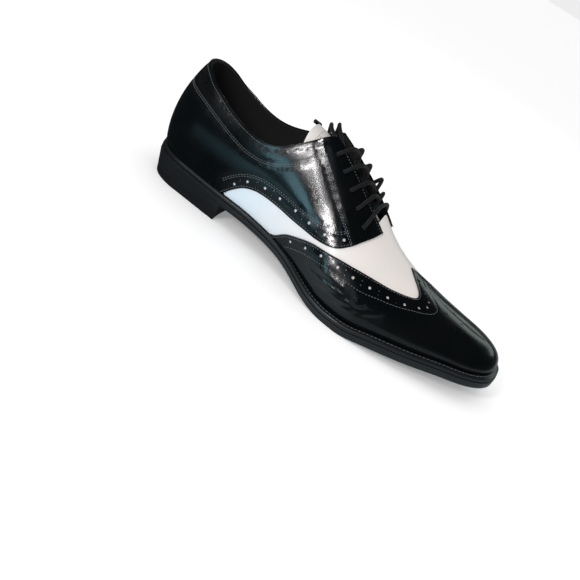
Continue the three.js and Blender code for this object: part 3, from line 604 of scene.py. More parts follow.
# Bonded nylon thread, black in itself: its grey base colour is a painted highlight for the silky light that
# each stitch catches.
painted_highlight_thread, tree, shader = shaded("nylon_thread_painted_highlight", Base_Color=linear("6a7074"), Roughness=0.4, Sheen_Weight=0.2)
place = add(tree, "ShaderNodeTexCoord").outputs["Object"]
twist = add(tree, "ShaderNodeTexNoise", Vector=place, Scale=2500.0)
bump(tree, shader, twist.outputs[0], 0.05, 0.5)

# Moulded plastic lace tips, black and shiny.
tip, tree, shader = shaded("tip_plastic", Base_Color=linear("0b0c0e"), Roughness=0.22)
place = add(tree, "ShaderNodeTexCoord").outputs["Object"]
bump(tree, shader, add(tree, "ShaderNodeTexNoise", Vector=place, Scale=600.0).outputs[0], 0.03, 0.3)
print(len(bpy.data.materials), "materials")

# %% [markdown]
# ## Laces
# A lace is one braided cord. Its free ends are drawn as cords: they come out of
# the opening at the top, arch over the inner facing into a small knot, and end in plastic tips.

# %% A cord along a smooth line
def tube(name, points, radius, material, resolution=8):
    """A round cord along points in millimetres from the back of the heel. Its UV map runs along it."""
    curve = bpy.data.curves.new(name, "CURVE")
    curve.dimensions = "3D"
    curve.bevel_depth = radius / 1000
    curve.bevel_resolution = 3
    curve.resolution_u = 3
    curve.use_fill_caps = True
    line = through(points, resolution)
    spline = curve.splines.new("POLY")
    spline.points.add(len(line) - 1)
    for point, place in zip(spline.points, line):
        point.co = (*place, 1)
    holder = bpy.data.objects.new(name + "_line", curve)
    bpy.context.scene.collection.objects.link(holder)
    graph = bpy.context.evaluated_depsgraph_get()
    mesh = bpy.data.meshes.new_from_object(holder.evaluated_get(graph))
    bpy.data.objects.remove(holder)
    length = float(np.linalg.norm(np.diff(line, axis=0), axis=1).sum())
    for corner in mesh.uv_layers[0].data:
        corner.uv = (corner.uv[1] * length, corner.uv[0])
    mesh.materials.clear()
    mesh.materials.append(material)
    piece = bpy.data.objects.new(name, mesh)
    bpy.context.scene.collection.objects.link(piece)
    smooth_faces(piece)
    return piece, line, length


def through(points, resolution):
    """A smooth line through points, in metres in the part's own frame."""
    points = (np.asarray(points, float) - [HEEL_SEAT, 0, 0]) / 1000
    run = np.concatenate(([0], np.cumsum(np.linalg.norm(np.diff(points, axis=0), axis=1) ** 0.5)))
    goal = np.linspace(0, run[-1], (len(points) - 1) * resolution + 1)
    return np.stack([smooth(list(zip(run, points[:, k])), 1)(goal) for k in range(3)], -1)


def smooth_faces(piece):
    piece.data.polygons.foreach_set("use_smooth", [True] * len(piece.data.polygons))


def to_piece(shape, name, materials):
    """The finished bmesh as an object in the scene, with its finishes and smooth faces."""
    mesh = bpy.data.meshes.new(name)
    shape.to_mesh(mesh)
    shape.free()
    for material in materials:
        mesh.materials.append(material)
    piece = bpy.data.objects.new(name, mesh)
    bpy.context.scene.collection.objects.link(piece)
    smooth_faces(piece)
    return piece


def seat(piece, slot, *nodes):
    """Ties a piece to the shoe and hides the CAD nodes that it stands for. slot is not used."""
    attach(piece, "root")
    if nodes:
        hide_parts(*nodes)


# %% The free ends
ENDS = {
    "lace_arch_outer": [
        (128, -8, 90.4), (122.8, -5.5, 94), (116.8, -1, 97.6), (110.5, 4, 99.9), (107, 10.5, 100.5),
        (105, 18, 98), (104.2, 24, 93.2), (104.2, 28.2, 88), (104.8, 29.4, 84.3),
    ],
    "lace_arch_inner": [
        (128, 6.5, 89.3), (122.5, 7.5, 94), (116.8, 10, 98.8), (111.8, 14, 102), (110, 19.5, 101.5),
        (109.4, 25, 96.4), (108.8, 28.8, 90), (108.2, 29.6, 84.3),
    ],
    "lace_tail_hanging": [
        (105.5, 29.4, 69.9), (105, 29.6, 64), (104.2, 29.9, 57), (103.4, 30, 49), (103, 29.9, 41),
        (103.2, 29.7, 33), (104, 29.5, 25), (105, 29.5, 19), (105.6, 29.6, 14.5),
    ],
    "lace_tail_tongue": [
        (98.9, 29.4, 77), (96, 29.8, 80), (95.2, 28.8, 85.5), (96, 25.4, 90), (96.8, 20.5, 92.6),
        (97, 16.8, 93.6), (96.2, 13.6, 94.6), (94.8, 11, 95.4),
    ],
}
KNOT = (106, 29.4, 77)
KNOT_SIZE = (4.2, 3.0, 5.2)
knot_line = []
for turn in np.linspace(0, 2 * math.pi, 25)[:-1]:
    reach = (2 + math.cos(3 * turn)) / 3
    knot_line.append((
        KNOT[0] + KNOT_SIZE[0] * reach * math.cos(2 * turn),
        KNOT[1] + KNOT_SIZE[1] * math.sin(3 * turn) * 0.75,
        KNOT[2] + KNOT_SIZE[2] * reach * math.sin(2 * turn),
    ))
knot_line.append(knot_line[0])
knot, _, _ = tube("lace_knot_loops", knot_line, LACE / 2, cotton, 4)
seat(knot, "lace_cord", "lace_knot")
TIP_LENGTH = 9
TIP_WALL = 0.12
for name, points in ENDS.items():
    piece, line, length = tube(name + "_cord", points, LACE / 2, cotton)
    seat(piece, "lace_cord", name)
    if "arch" in name:
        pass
    else:
        from_end = np.cumsum(np.linalg.norm(np.diff(line[::-1], axis=0), axis=1))
        tail = line[-(from_end.searchsorted(TIP_LENGTH / 1000) + 1):]
        cap, _, _ = tube(name + "_tip", tail * 1000 + [HEEL_SEAT, 0, 0], LACE / 2 + TIP_WALL, tip, 2)
        seat(cap, "lace_cord")
    print(name, round(length * 1000), "mm")

# %% [markdown]
# ## Panels
# A shoemaker cuts each panel flat, punches its holes and then pulls it over the last. The same is done
# here: the outline and the holes lie on a flat pattern, a triangulation fills it with even triangles, and
# each corner is then laid on the last. A Solidify modifier gives the leather its thickness, and a Bevel the
# slightly rounded cut edge.

# %% Cutting a panel
# Millimetres: sides of the triangles, thickness of the leather, roundness of its cut edge
TRIANGLE, UPPER_TRIANGLE = 1.9, 2.4
LEATHER, UPPER_LEATHER = 1.0, 2.0
CUT_EDGE, UPPER_EDGE = 0.25, 0.3


def inside(points, outline):
    """Which points of the flat pattern lie inside an outline."""
    x1, y1 = np.asarray(outline).T
    x2, y2 = np.roll(outline, -1, 0).T
    within = np.zeros(len(points), bool)
    for a, b, c, d in zip(x1, y1, x2, y2):
        crosses = (b > points[:, 1]) != (d > points[:, 1])
        within ^= crosses & (points[:, 0] < (c - a) * (points[:, 1] - b) / (d - b + 1e-12) + a)
    return within


def punched(holes):
    """Rings on the flat pattern that are round on the last: holes are (u, girth, radius, corners)."""
    places = np.array([hole[:2] for hole in holes])
    u, girth, step = places[:, 0], places[:, 1], 0.002
    along = (surface(u + step, girth) - surface(u - step, girth)) / (2 * step)
    round_it = (surface(u, girth + step) - surface(u, girth - step)) / (2 * step)
    first = along / np.linalg.norm(along, axis=1, keepdims=True)
    second = np.cross(upright(u, girth), first)
    back = np.linalg.pinv(np.stack((along, round_it), -1))
    rings = []
    for k, (_, _, radius, corners) in enumerate(holes):
        turn = np.arange(corners) * math.tau / corners
        reach = radius * (np.cos(turn)[:, None] * first[k] + np.sin(turn)[:, None] * second[k])
        rings.append(flat(places[k] + reach @ back[k].T))
    return rings


def thicken(piece, thickness, inner=0, rim=0):
    """Gives a sheet its thickness, inwards from its good side, and the finish of its inner side and rim."""
    thick = piece.modifiers.new("leather", "SOLIDIFY")
    thick.thickness = thickness / 1000
    thick.offset = -1
    thick.material_offset = inner
    thick.material_offset_rim = rim


def soften(piece, name, width, segments):
    """Rounds the sharp edges only."""
    edges = piece.modifiers.new(name, "BEVEL")
    edges.width = width / 1000
    edges.segments = segments
    edges.limit_method = "ANGLE"
    edges.angle_limit = math.radians(50)
    edges.harden_normals = True


def cut_panel(
    name, outline, holes, spacing, lift, thickness, materials, zone=None, inner=0, rim=0, followed=()
):
    """A leather panel on the last. lift(places) is in millimetres, zone(places) picks each face's finish."""
    loop = flat(outline)
    keep = np.linalg.norm(loop - np.roll(loop, 1, 0), axis=1) > 0.05
    loop = loop[keep]
    rings = punched(holes) if len(holes) else []
    low, high = loop.min(0), loop.max(0)
    across, up = np.arange(low[0], high[0], spacing), np.arange(low[1], high[1], spacing * 0.87)
    sheet = np.array([(x + spacing / 2 * (row % 2), y) for row, y in enumerate(up) for x in across])
    for line in followed:
        sheet = np.concatenate((sheet[nearest(sheet / (SPAN, GIRTH), line) > spacing * 0.7], flat(line)))
    sheet = sheet[inside(sheet, loop)]
    closed = np.concatenate((loop, loop[:1])) / (SPAN, GIRTH)
    sheet = sheet[nearest(sheet / (SPAN, GIRTH), closed) > spacing * 0.45]
    centres = []
    for ring, hole in zip(rings, holes):
        centre = ring.mean(0)
        centres.append(centre)
        reach = np.linalg.norm(ring - centre, axis=1).max() + spacing * 0.35
        sheet = sheet[np.linalg.norm(sheet - centre, axis=1) > reach]
    points, edges = [], []
    for ring in [loop, *rings]:
        start = len(points)
        edges += [(start + i, start + (i + 1) % len(ring)) for i in range(len(ring))]
        points += list(ring)
    points += centres + list(sheet)
    made = delaunay_2d_cdt([Vector(point) for point in points], edges, [], 0, 1e-5)
    corners = np.array([tuple(point) for point in made[0]])
    faces = np.array([face for face in made[2] if len(face) == 3])
    middles = corners[faces].mean(1)
    kept = inside(middles, loop)
    for ring in rings:
        close = np.linalg.norm(middles - ring.mean(0), axis=1) < 12
        kept[np.flatnonzero(close)[inside(middles[close], ring)]] = False
    faces, middles = faces[kept], middles[kept] / (SPAN, GIRTH)
    places = corners / (SPAN, GIRTH)
    places = np.stack((np.clip(places[:, 0], 0, 1), np.clip(places[:, 1], 0, 2)), -1)
    mesh = bpy.data.meshes.new(name)
    mesh.from_pydata(on_last(places[:, 0], places[:, 1], lift(places)).tolist(), [], faces.tolist())
    for material in materials:
        mesh.materials.append(material)
    if zone is not None:
        mesh.polygons.foreach_set("material_index", zone(middles).astype(int))
    shape = bmesh.new()
    shape.from_mesh(mesh)
    bmesh.ops.remove_doubles(shape, verts=shape.verts, dist=2e-6)
    bmesh.ops.delete(shape, geom=[v for v in shape.verts if not v.link_faces], context="VERTS")
    shape.to_mesh(mesh)
    shape.free()
    piece = bpy.data.objects.new(name, mesh)
    bpy.context.scene.collection.objects.link(piece)
    smooth_faces(piece)
    thicken(piece, thickness, inner, rim)
    soften(piece, "cut_edge", UPPER_EDGE if zone else CUT_EDGE, 2)
    print(name, len(faces), "triangles,", len(rings), "holes")
    return piece


def at_side(side, places):
    """Places given for the outer side, on the side asked for."""
    return mirrored(places) if side == INNER else np.asarray(places, float)


# %% [markdown]
# ## Bends and seams in the leather
# Where the foot bends, polished leather keeps soft troughs. Each crease is a short line with a depth and a
# width in millimetres, placed as the photograph shows. A seam pulls the leather down by a fraction
# of a millimetre along its stitches.

# %% Creases
# Places of the line, depth, half width, the last two in millimetres
CREASES = [
    ([(0.500, 0.125), (0.540, 0.165), (0.590, 0.205), (0.625, 0.225)], 0.45, 1.3),
    ([(0.520, 0.085), (0.560, 0.130), (0.610, 0.185), (0.650, 0.235)], 0.35, 1.2),
    ([(0.545, 0.060), (0.590, 0.105), (0.630, 0.150)], 0.30, 1.2),
    ([(0.600, 0.245), (0.640, 0.262), (0.672, 0.290)], 0.35, 1.1),
    ([(0.628, 0.190), (0.655, 0.235), (0.685, 0.300)], 0.30, 1.2),
    ([(0.640, 0.120), (0.665, 0.175), (0.690, 0.240)], 0.22, 1.3),
]
VAMP_CREASES = [
    ([(0.600, 0.520), (0.622, 0.700), (0.634, 0.880), (0.636, 1.100), (0.624, 1.350), (0.604, 1.500)],
     0.22, 2.2),
    ([(0.640, 0.560), (0.655, 0.720), (0.662, 0.900), (0.662, 1.100), (0.652, 1.300)], 0.16, 2.0),
]


def creased(places):
    """How far the creases lower the leather at each place."""
    depth = np.zeros(len(places))
    for line, deep, width in CREASES + [(mirrored(line), deep, width) for line, deep, width in CREASES[:3]]:
        line = rounded(line, 2.0)
        away = nearest(places, line)
        depth -= deep * np.exp(-((away / width) ** 2))
        depth += 0.35 * deep * np.exp(-(((away - 2.2 * width) / width) ** 2))
    for line, deep, width in VAMP_CREASES:
        depth -= deep * np.exp(-((nearest(places, rounded(line, 3.0)) / width) ** 2))
    return depth


print(len(CREASES), "creases on the wing's outer side and", len(VAMP_CREASES), "over the vamp")


def pulled(places, seams, depth=0.22, width=0.9):
    """How far the seams pull the leather down at each place."""
    down = np.zeros(len(places))
    for seam in seams:
        down -= depth * np.exp(-((nearest(places, seam) / width) ** 2))
    return down


# %% Edges and seams of one side
def rim_line(side, start=0.0, end=0.592, count=150):
    """The top edge and the facing's edge of one side, from the back forward."""
    u = np.linspace(start, end, count)
    return np.stack((u, top_girth(side, u)), -1)


RIM = {side: rim_line(side) for side in (OUTER, INNER)}
QUARTER = {}
for side in (OUTER, INNER):
    line = rounded(QUARTER_EDGE)
    reach = RIM[side][-1, 1] / line[-1, 1]
    line[:, 1] *= 1 + (reach - 1) * (line[:, 1] / line[-1, 1]) ** 2
    QUARTER[side] = line
WING = rounded(WING_EDGE)
LACED = 0.415
print(
    "facing's edge is", round(float(RIM[OUTER][-1, 1]), 3), "outside and",
    round(float(RIM[INNER][-1, 1]), 3), "inside",
)

# %% Rows of holes
# Radii in millimetres
BIG, SMALL = 1.15, 0.42
COLLAR_BIG, COLLAR_SMALL = 1.05, 0.40
SPRAY_BIG, SPRAY_SMALL, SPRAY_REACH = 0.62, 0.34, 2.3
EYELET_HOLE = 1.9


def brogue_row(places, big=BIG, small=SMALL, apart=1.75, corners=12):
    """Big holes at places, and a pair of pinholes between each two, one on each side of the row."""
    places = np.asarray(places, float)
    holes = [(u, g, big, corners) for u, g in places]
    line = flat(places)
    for a, b in zip(line[:-1], line[1:]):
        way = (b - a) / np.linalg.norm(b - a)
        aside = np.array((-way[1], way[0])) * apart
        for spot in ((a + b) / 2 + aside, (a + b) / 2 - aside):
            holes.append((spot[0] / SPAN, spot[1] / GIRTH, small, 8))
    return holes


def to_side(side, holes):
    """Holes given for the outer side, on the side asked for."""
    return [(u, 2 - g if side == INNER else g, radius, corners) for u, g, radius, corners in holes]


collar_holes = {}
for side in (OUTER, INNER):
    u = np.linspace(0.028, 0.372, 11)
    low = smooth(COLLAR_SEAM, 1)(u)
    high = np.interp(u, RIM[side][:, 0], RIM[side][:, 1])
    collar_holes[side] = np.stack((u, low + 0.55 * (high - low)), -1)
print(len(collar_holes[OUTER]), "big holes along the collar")

# %% [markdown]
# ## Wing cap
# The cap covers the toe, runs back along both sides as wings and ends on top in a peak. Its big holes show
# the white leather below, a seam runs along its edge and another behind the holes, and small holes on the
# toe form a plain spray of the traditional kind.

# %% Wing cap
# Millimetres from a cut edge to its seam
EDGE_SEAM = 1.3
outline = np.concatenate((
    WING, mirrored(WING)[::-1][1:],
    np.stack((np.linspace(WING[0, 0], 1, 90)[1:], np.full(89, 2.0)), -1),
    np.stack((np.full(40, 1.0), np.linspace(2, 0, 41)[1:]), -1),
    np.stack((np.linspace(1, WING[0, 0], 90)[1:-1], np.zeros(88)), -1),
))
wing_seams = [offset(WING, -EDGE_SEAM), rounded(WING_SEAM)]
wing_seams += [mirrored(line) for line in wing_seams]
holes = brogue_row(WING_HOLES)
spray = [(u, g, SPRAY_BIG, 8) for u, g in MEDALLION]
for u, g in MEDALLION[:-2]:
    for turn in np.arange(5) * math.tau / 5 + 0.3:
        x, y = SPRAY_REACH * math.cos(turn), SPRAY_REACH * math.sin(turn)
        spray.append((u + x / SPAN, g + y / GIRTH, SPRAY_SMALL, 6))
holes += [hole for hole in spray if hole[1] <= 1.001]
holes += to_side(INNER, [hole for hole in holes if hole[1] < 0.985])


def wing_lift(places):
    return creased(places) + pulled(places, wing_seams)


wing = cut_panel(
    "wing_cap_leather", outline, holes, TRIANGLE, wing_lift, LEATHER, [black], followed=wing_seams
)
seat(wing, "black_leather", "wing_cap")

# %% [markdown]
# ## Quarters
# Each quarter wraps one side of the heel and ends in the laced facing, which has one more layer of leather.
# A band round the collar is edged by two seams and holds a row of holes that show dark.

# %% Quarters
# Millimetres from the lower edge to the two seams above its holes, from the top edge to its seam, and
# between the twin seams of the collar and the facing
BAND_SEAMS = (7.6, 8.8)
TOP_SEAM = 1.8
COLLAR_TWIN, FACING_TWIN = 1.2, 1.3
SEAM_BREAK = 0.012
quarter_seams = {}
for side in (OUTER, INNER):
    rim, low = RIM[side], QUARTER[side]
    facing = rounded(FACING_SEAM)
    collar = rounded(COLLAR_SEAM)
    seams = [
        offset(low, EDGE_SEAM), offset(low, BAND_SEAMS[0])[4:-22], offset(low, BAND_SEAMS[1])[4:-24],
        offset(rim[rim[:, 0] < LACED - SEAM_BREAK], -TOP_SEAM), collar, offset(collar, -COLLAR_TWIN),
        facing, offset(facing, -FACING_TWIN), offset(rim[rim[:, 0] > LACED + SEAM_BREAK], -TOP_SEAM),
    ]
    quarter_seams[side] = [at_side(side, seam) for seam in seams]
    top = rim[::-1]
    places = np.concatenate((
        low, top[1:],
        np.stack((np.zeros(24), np.linspace(top[-1, 1], 0, 25)[1:]), -1),
        np.stack((np.linspace(0, low[0, 0], 40)[1:-1], np.zeros(38)), -1),
    ))
    holes = brogue_row(QUARTER_HOLES) + brogue_row(collar_holes[side], COLLAR_BIG, COLLAR_SMALL)
    holes += [(u + 0.001, g, EYELET_HOLE, 12) for u, g in EYELETS]

    def quarter_lift(places, side=side):
        own = mirrored(places) if side == INNER else places
        seam_u = np.interp(
            own[:, 1], [row[1] for row in FACING_SEAM[::-1]], [row[0] for row in FACING_SEAM[::-1]]
        )
        ahead = (own[:, 0] - seam_u) * SPAN * 0.8
        raised = FACING / (1 + np.exp(-np.clip(ahead / 0.35, -30, 30)))
        return raised + pulled(places, quarter_seams[side])

    name = "quarter_outer" if side == OUTER else "quarter_inner"
    outline = at_side(side, places)
    if side == INNER:
        outline = outline[::-1]
    piece = cut_panel(
        name + "_leather", outline, to_side(side, holes), TRIANGLE, quarter_lift, LEATHER, [black],
        followed=quarter_seams[side],
    )
    seat(piece, "black_leather", name)

# %% [markdown]
# ## Bead along the top
# The quarter's top edge is turned over a cord before the lining is sewn in, so a thin round bead runs round
# the collar and catches a line of light.

# %% Bead
BEAD = 0.55
bead_back = RIM[INNER][RIM[INNER][:, 0] < LACED][::-1]
bead_way = np.concatenate((at_side(INNER, bead_back), RIM[OUTER][RIM[OUTER][:, 0] < LACED][1:]))
bead_line = on_last(bead_way[:, 0], bead_way[:, 1], -0.35)[::3] * 1000 + [HEEL_SEAT, 0, 0]
bead, _, bead_length = tube("collar_bead", bead_line, BEAD, black, 2)
seat(bead, "black_leather")
print("bead", round(bead_length * 1000), "mm")

# %% [markdown]
# ## White upper and its lining
# Under the black panels lies one white upper with a dark lining, open at the collar and between the
# facings. Solidify gives the two together their thickness, with the lining's material on the inside.

# %% White upper
VAMP_START = 0.574
rims = {}
for side in (OUTER, INNER):
    line = rim_line(side, 0.0, VAMP_START, 120)
    rims[side] = at_side(side, np.stack((line[:, 0], line[:, 1] - 0.002), -1))
outline = np.concatenate((
    np.stack((np.linspace(0, 1, 180), np.zeros(180)), -1),
    np.stack((np.full(60, 1.0), np.linspace(0, 2, 61)[1:]), -1),
    np.stack((np.linspace(1, 0, 180)[1:], np.full(179, 2.0)), -1),
    np.stack((np.zeros(24), np.linspace(2, rims[INNER][0, 1], 25)[1:]), -1),
    rims[INNER][1:],
    np.stack((np.full(18, VAMP_START), np.linspace(rims[INNER][-1, 1], rims[OUTER][-1, 1], 20)[1:-1]), -1),
    rims[OUTER][::-1],
    np.stack((np.zeros(23), np.linspace(rims[OUTER][0, 1], 0, 25)[1:-1]), -1),
))
HOLE_LINE = np.array(QUARTER_HOLES)


def shell_zone(places):
    """White, but black behind the collar's holes and under the facings."""
    own = np.where(places[:, 1] > 1, 2 - places[:, 1], places[:, 1])
    line = np.interp(places[:, 0], HOLE_LINE[:, 0], HOLE_LINE[:, 1]) + 0.06
    hidden = (places[:, 0] < 0.262) | ((own > line) & (places[:, 0] < 0.555))
    return np.where(hidden, 1, 0)


def shell_lift(places):
    return creased(places) - 1.0


shell = cut_panel(
    "white_upper", outline, [], UPPER_TRIANGLE, shell_lift, UPPER_LEATHER, [white, black, lining],
    shell_zone,
    inner=2, rim=1,
)
seat(shell, "white_leather", "upper")

# %% [markdown]
# ## Sole, welt and heel
# The sole is a flat sheet cut to the outline and bent over the arch. A grid is laid between the outer and
# the inner outline, extruded up to its top, and its rim is bevelled as the edge iron rounds it.

# %% A sheet between two outlines
def between(u, across, inset, height, hollow=lambda x, t: 0.0):
    """Points at a share of the way round and a share across, in metres in the part's own frame."""
    outer, inner = drawn_in(OUTER, u, inset), drawn_in(INNER, u, inset)
    x = outer[:, 0] + across * (inner[:, 0] - outer[:, 0]) - hollow(outer[:, 0], across)
    y = outer[:, 1] + across * (inner[:, 1] - outer[:, 1])
    return (np.stack((x, y, height(x / LENGTH) + np.zeros(len(x))), -1) - [HEEL_SEAT, 0, 0]) / 1000


def sole_sheet(name, slot, node, material, under, top, reach=1.0, round_rim=0.45, around=150, across=10):
    """A layer of the sole: under and top are functions of (u, across) that give points."""
    shape = bmesh.new()
    bmesh.ops.create_grid(shape, x_segments=around, y_segments=across, size=1)
    places = np.array([vertex.co[:2] for vertex in shape.verts]) * 0.5 + 0.5
    low, high = under(places[:, 0] * reach, places[:, 1]), top(places[:, 0] * reach, places[:, 1])
    made = bmesh.ops.extrude_face_region(shape, geom=shape.faces[:])
    lifted = [item for item in made["geom"] if isinstance(item, bmesh.types.BMVert)]
    kept = {(round(v.co.x, 5), round(v.co.y, 5)): k for k, v in enumerate(list(shape.verts)[:len(places)])}
    for vertex in lifted:
        vertex.tag = True
    for vertex in shape.verts:
        k = kept[(round(vertex.co.x, 5), round(vertex.co.y, 5))]
        vertex.co = high[k] if vertex.tag else low[k]
    bmesh.ops.remove_doubles(shape, verts=shape.verts, dist=2e-6)
    bmesh.ops.dissolve_degenerate(shape, edges=shape.edges, dist=1e-6)
    bmesh.ops.recalc_face_normals(shape, faces=shape.faces)
    sharp = [e for e in shape.edges if len(e.link_faces) == 2 and e.calc_face_angle(0) > math.radians(50)]
    bmesh.ops.bevel(
        shape, geom=sharp, offset=round_rim / 1000, segments=3, affect="EDGES", profile=0.5, material=-1,
        clamp_overlap=True,
    )
    piece = to_piece(shape, name, [material])
    piece.data.set_sharp_from_angle(angle=math.radians(40))
    seat(piece, slot, node)
    print(name, len(piece.data.polygons), "faces")


def flush(at):
    return 0.0 * at


sole_sheet(
    "outsole_sheet", "sole_edge", "outsole", waxed,
    lambda u, t: between(u, t, flush, underside), lambda u, t: between(u, t, flush, sole_top),
)

# %% [markdown]
# ## Heel
# A stacked heel is a block of leather layers with one wearing layer, the top lift, below. Both are the same
# sheet as the sole, cut off at the heel's length. Their sides draw in towards the floor, the back leans
# more, and the front is hollowed a little, which one inset and one hollow say for both layers.

# %% Heel
def heel_inset(height):
    """The heel's sides draw in towards the floor, and its back more than its sides."""
    def inset(at):
        low = 1 - np.clip(height(at) / HEEL_HEIGHT, 0, 1)
        back = np.maximum(0, 1 - at * LENGTH / HEEL_ROUND[0])
        return low * (HEEL_TAPER + (HEEL_RAKE - HEEL_TAPER) * back)

    return inset


def breast(x, t):
    return BREAST_HOLLOW * (x / HEEL_LENGTH) ** 3 * (1 - (2 * t - 1) ** 2)


def heel_face(height):
    return lambda u, t: between(u, t, heel_inset(height), height, breast)


ways = np.linspace(0, 0.5, 2000)
heel_reach = float(np.interp(HEEL_LENGTH, edge(OUTER, ways)[:, 0], ways))
sole_sheet(
    "heel_block_stack", "sole_edge", "heel_block", waxed,
    heel_face(lambda at: LIFT_THICKNESS + GAP + 0 * at), heel_face(lambda at: underside(at) - 0.05),
    reach=heel_reach, around=60, round_rim=0.3,
)
sole_sheet(
    "heel_top_lift", "sole_edge", "heel_lift", waxed,
    heel_face(lambda at: 0 * at), heel_face(lambda at: LIFT_THICKNESS + 0 * at),
    reach=heel_reach, around=60, round_rim=0.35,
)

# %% [markdown]
# ## Welt
# The welt is a strip sewn round the upper's foot. It is wide and stitched round the forepart, narrow at the
# waist, and ends in a plain rand at the heel. Its band is one strip that goes all the way round.

# %% Welt
def round_trip(way):
    """Side and share of the way round for a way from 0 to 2 round both sides."""
    return np.where(way <= 1, way, 2 - way)


def welt_point(way, inset, height):
    u = round_trip(way)
    outer, inner = drawn_in(OUTER, u, inset), drawn_in(INNER, u, inset)
    plan = np.where((way <= 1)[:, None], outer, inner)
    points = np.concatenate((plan, height(plan[:, 0] / LENGTH)[:, None]), 1)
    return (points - [HEEL_SEAT, 0, 0]) / 1000


def welt_inner(at):
    return ledge(at) + 1.6


profile = [
    (lambda at: WELT_STEP + 0 * at, lambda at: sole_top(at) + 0.12),
    (lambda at: WELT_STEP - 0.1 + 0 * at, lambda at: sole_top(at) + 0.5),
    (lambda at: WELT_STEP - 0.1 + 0 * at, lambda at: welt_top(at) - 0.5),
    (lambda at: WELT_STEP + 0.35 + 0 * at, lambda at: welt_top(at) - 0.08),
    (lambda at: np.minimum(WELT_STEP + 1.2, ledge(at)), lambda at: welt_top(at)),
    (
        lambda at: ledge(at) * 0.62 + 0.3,
        lambda at: welt_top(at) - 0.28 * np.clip((ledge(at) - 3) / 2, 0, 1),
    ),
    (lambda at: ledge(at) * 0.95, lambda at: welt_top(at) - 0.1),
    (welt_inner, lambda at: welt_top(at) - 0.6),
    (welt_inner, lambda at: sole_top(at) + 0.12),
]
shape = bmesh.new()
steps = 300
bmesh.ops.create_grid(shape, x_segments=steps, y_segments=len(profile), size=1)
ways = np.linspace(0, 2, steps + 1)
rings = [welt_point(ways, inset, height) for inset, height in profile + profile[:1]]
for vertex in shape.verts:
    i = round((vertex.co.x + 1) / 2 * steps)
    j = round((vertex.co.y + 1) / 2 * len(profile))
    vertex.co = rings[j][i]
bmesh.ops.remove_doubles(shape, verts=shape.verts, dist=2e-6)
bmesh.ops.dissolve_degenerate(shape, edges=shape.edges, dist=1e-6)
bmesh.ops.recalc_face_normals(shape, faces=shape.faces)
welt = to_piece(shape, "welt_strip", [waxed])
seat(welt, "sole_edge", "welt")
print("welt", len(welt.data.polygons), "faces")

# %% [markdown]
# ## Insole
# Only the sock of the insole shows, deep inside. The CAD piece has the right shape, so it stays and only
# gets its leather.

# %% Insole
sock_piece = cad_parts["insole"]
sock_piece.data.materials.clear()
sock_piece.data.materials.append(sock)
print("the insole is finished in", sock.name)

# %% [markdown]
# ## Tongue
# The tongue is one soft white piece under the facings. It follows the last at its sides and lies flat
# between the facings, and its top end has a turned hem with one line of stitches.

# %% Tongue
# At, drop of its middle below the last, its edge as a share of the girth
TONGUE = [
    (0.326, 0.122, 0.56), (0.380, 0.124, 0.56), (0.420, 0.124, 0.57), (0.460, 0.115, 0.58),
    (0.500, 0.092, 0.60), (0.550, 0.055, 0.62), (0.590, 0.020, 0.64), (0.620, 0.000, 0.66),
]
TONGUE_DEPTH = 4.1
HEM = 0.5
tongue_drop, tongue_edge = smooth(TONGUE, 1), smooth(TONGUE, 2)
ways = np.linspace(0, 1, 2000)
ridge_x = ridge(ways)[:, 0]


def tongue_place(at, sideways):
    """Way round and girth of a place on the tongue. Sideways runs from -1 outside to 1 inside."""
    share = 1 - np.abs(sideways)
    low = tongue_edge(at)
    girth = low + share * (1 - low)
    return np.interp(at * LENGTH, ridge_x, ways), np.where(sideways > 0, 2 - girth, girth)


def on_tongue(at, sideways, lift=0.0):
    """A place on the tongue's top, in metres."""
    at, sideways = np.atleast_1d(at), np.atleast_1d(sideways)
    u, girth = tongue_place(at, sideways)
    own = np.where(girth > 1, 2 - girth, girth)
    level = np.sin(math.pi / 2 * np.clip((own - 0.62) / 0.38, 0, 1)) ** 2
    points = on_last(u, girth, lift - TONGUE_DEPTH)
    points[:, 2] -= INSTEP_HEIGHT * tongue_drop(at) * level / 1000
    return points


shape = bmesh.new()
bmesh.ops.create_grid(shape, x_segments=60, y_segments=48, size=1)
grid = np.array([vertex.co[:2] for vertex in shape.verts])
TONGUE_START, TONGUE_END = TONGUE[0][0], TONGUE[-1][0]
at = TONGUE_START + (grid[:, 0] + 1) / 2 * (TONGUE_END - TONGUE_START)
end_curve = 0.010 * np.clip(1 - (at - TONGUE_START) / 0.05, 0, 1) * np.abs(grid[:, 1]) ** 3
for vertex, place in zip(shape.verts, on_tongue(at + end_curve, grid[:, 1])):
    vertex.co = place
tongue = to_piece(shape, "tongue_leather", [white, lining])
thicken(tongue, TONGUE_THICKNESS, inner=1)
soften(tongue, "turned_hem", HEM, 3)
seat(tongue, "white_leather", "tongue")
print("tongue's end is at", on_tongue(TONGUE_START, 0.0)[0].round(4))

# %% [markdown]
# ## Lace rows
# The lace goes down into each eyelet from above, crosses its partner in the gap and dives under the other
# facing. The lowest row is a straight bar. The points repeat the CAD rows, with their ends led down through
# the punched eyelets.

# %% Lace rows
STRAND_RUN = 0.027
STRAND_SAG = 4
BAR_STOP = 0.55
STANDING_ROW, STANDING_RISE = 2, 3.5
FACING_GIRTH = 0.87


def off_last(side, u, girth, lift):
    """One point off the last in millimetres from the heel's back."""
    girth = 2 - girth if side == INNER else girth
    return on_last([u], [girth], lift)[0] * 1000 + [HEEL_SEAT, 0, 0]


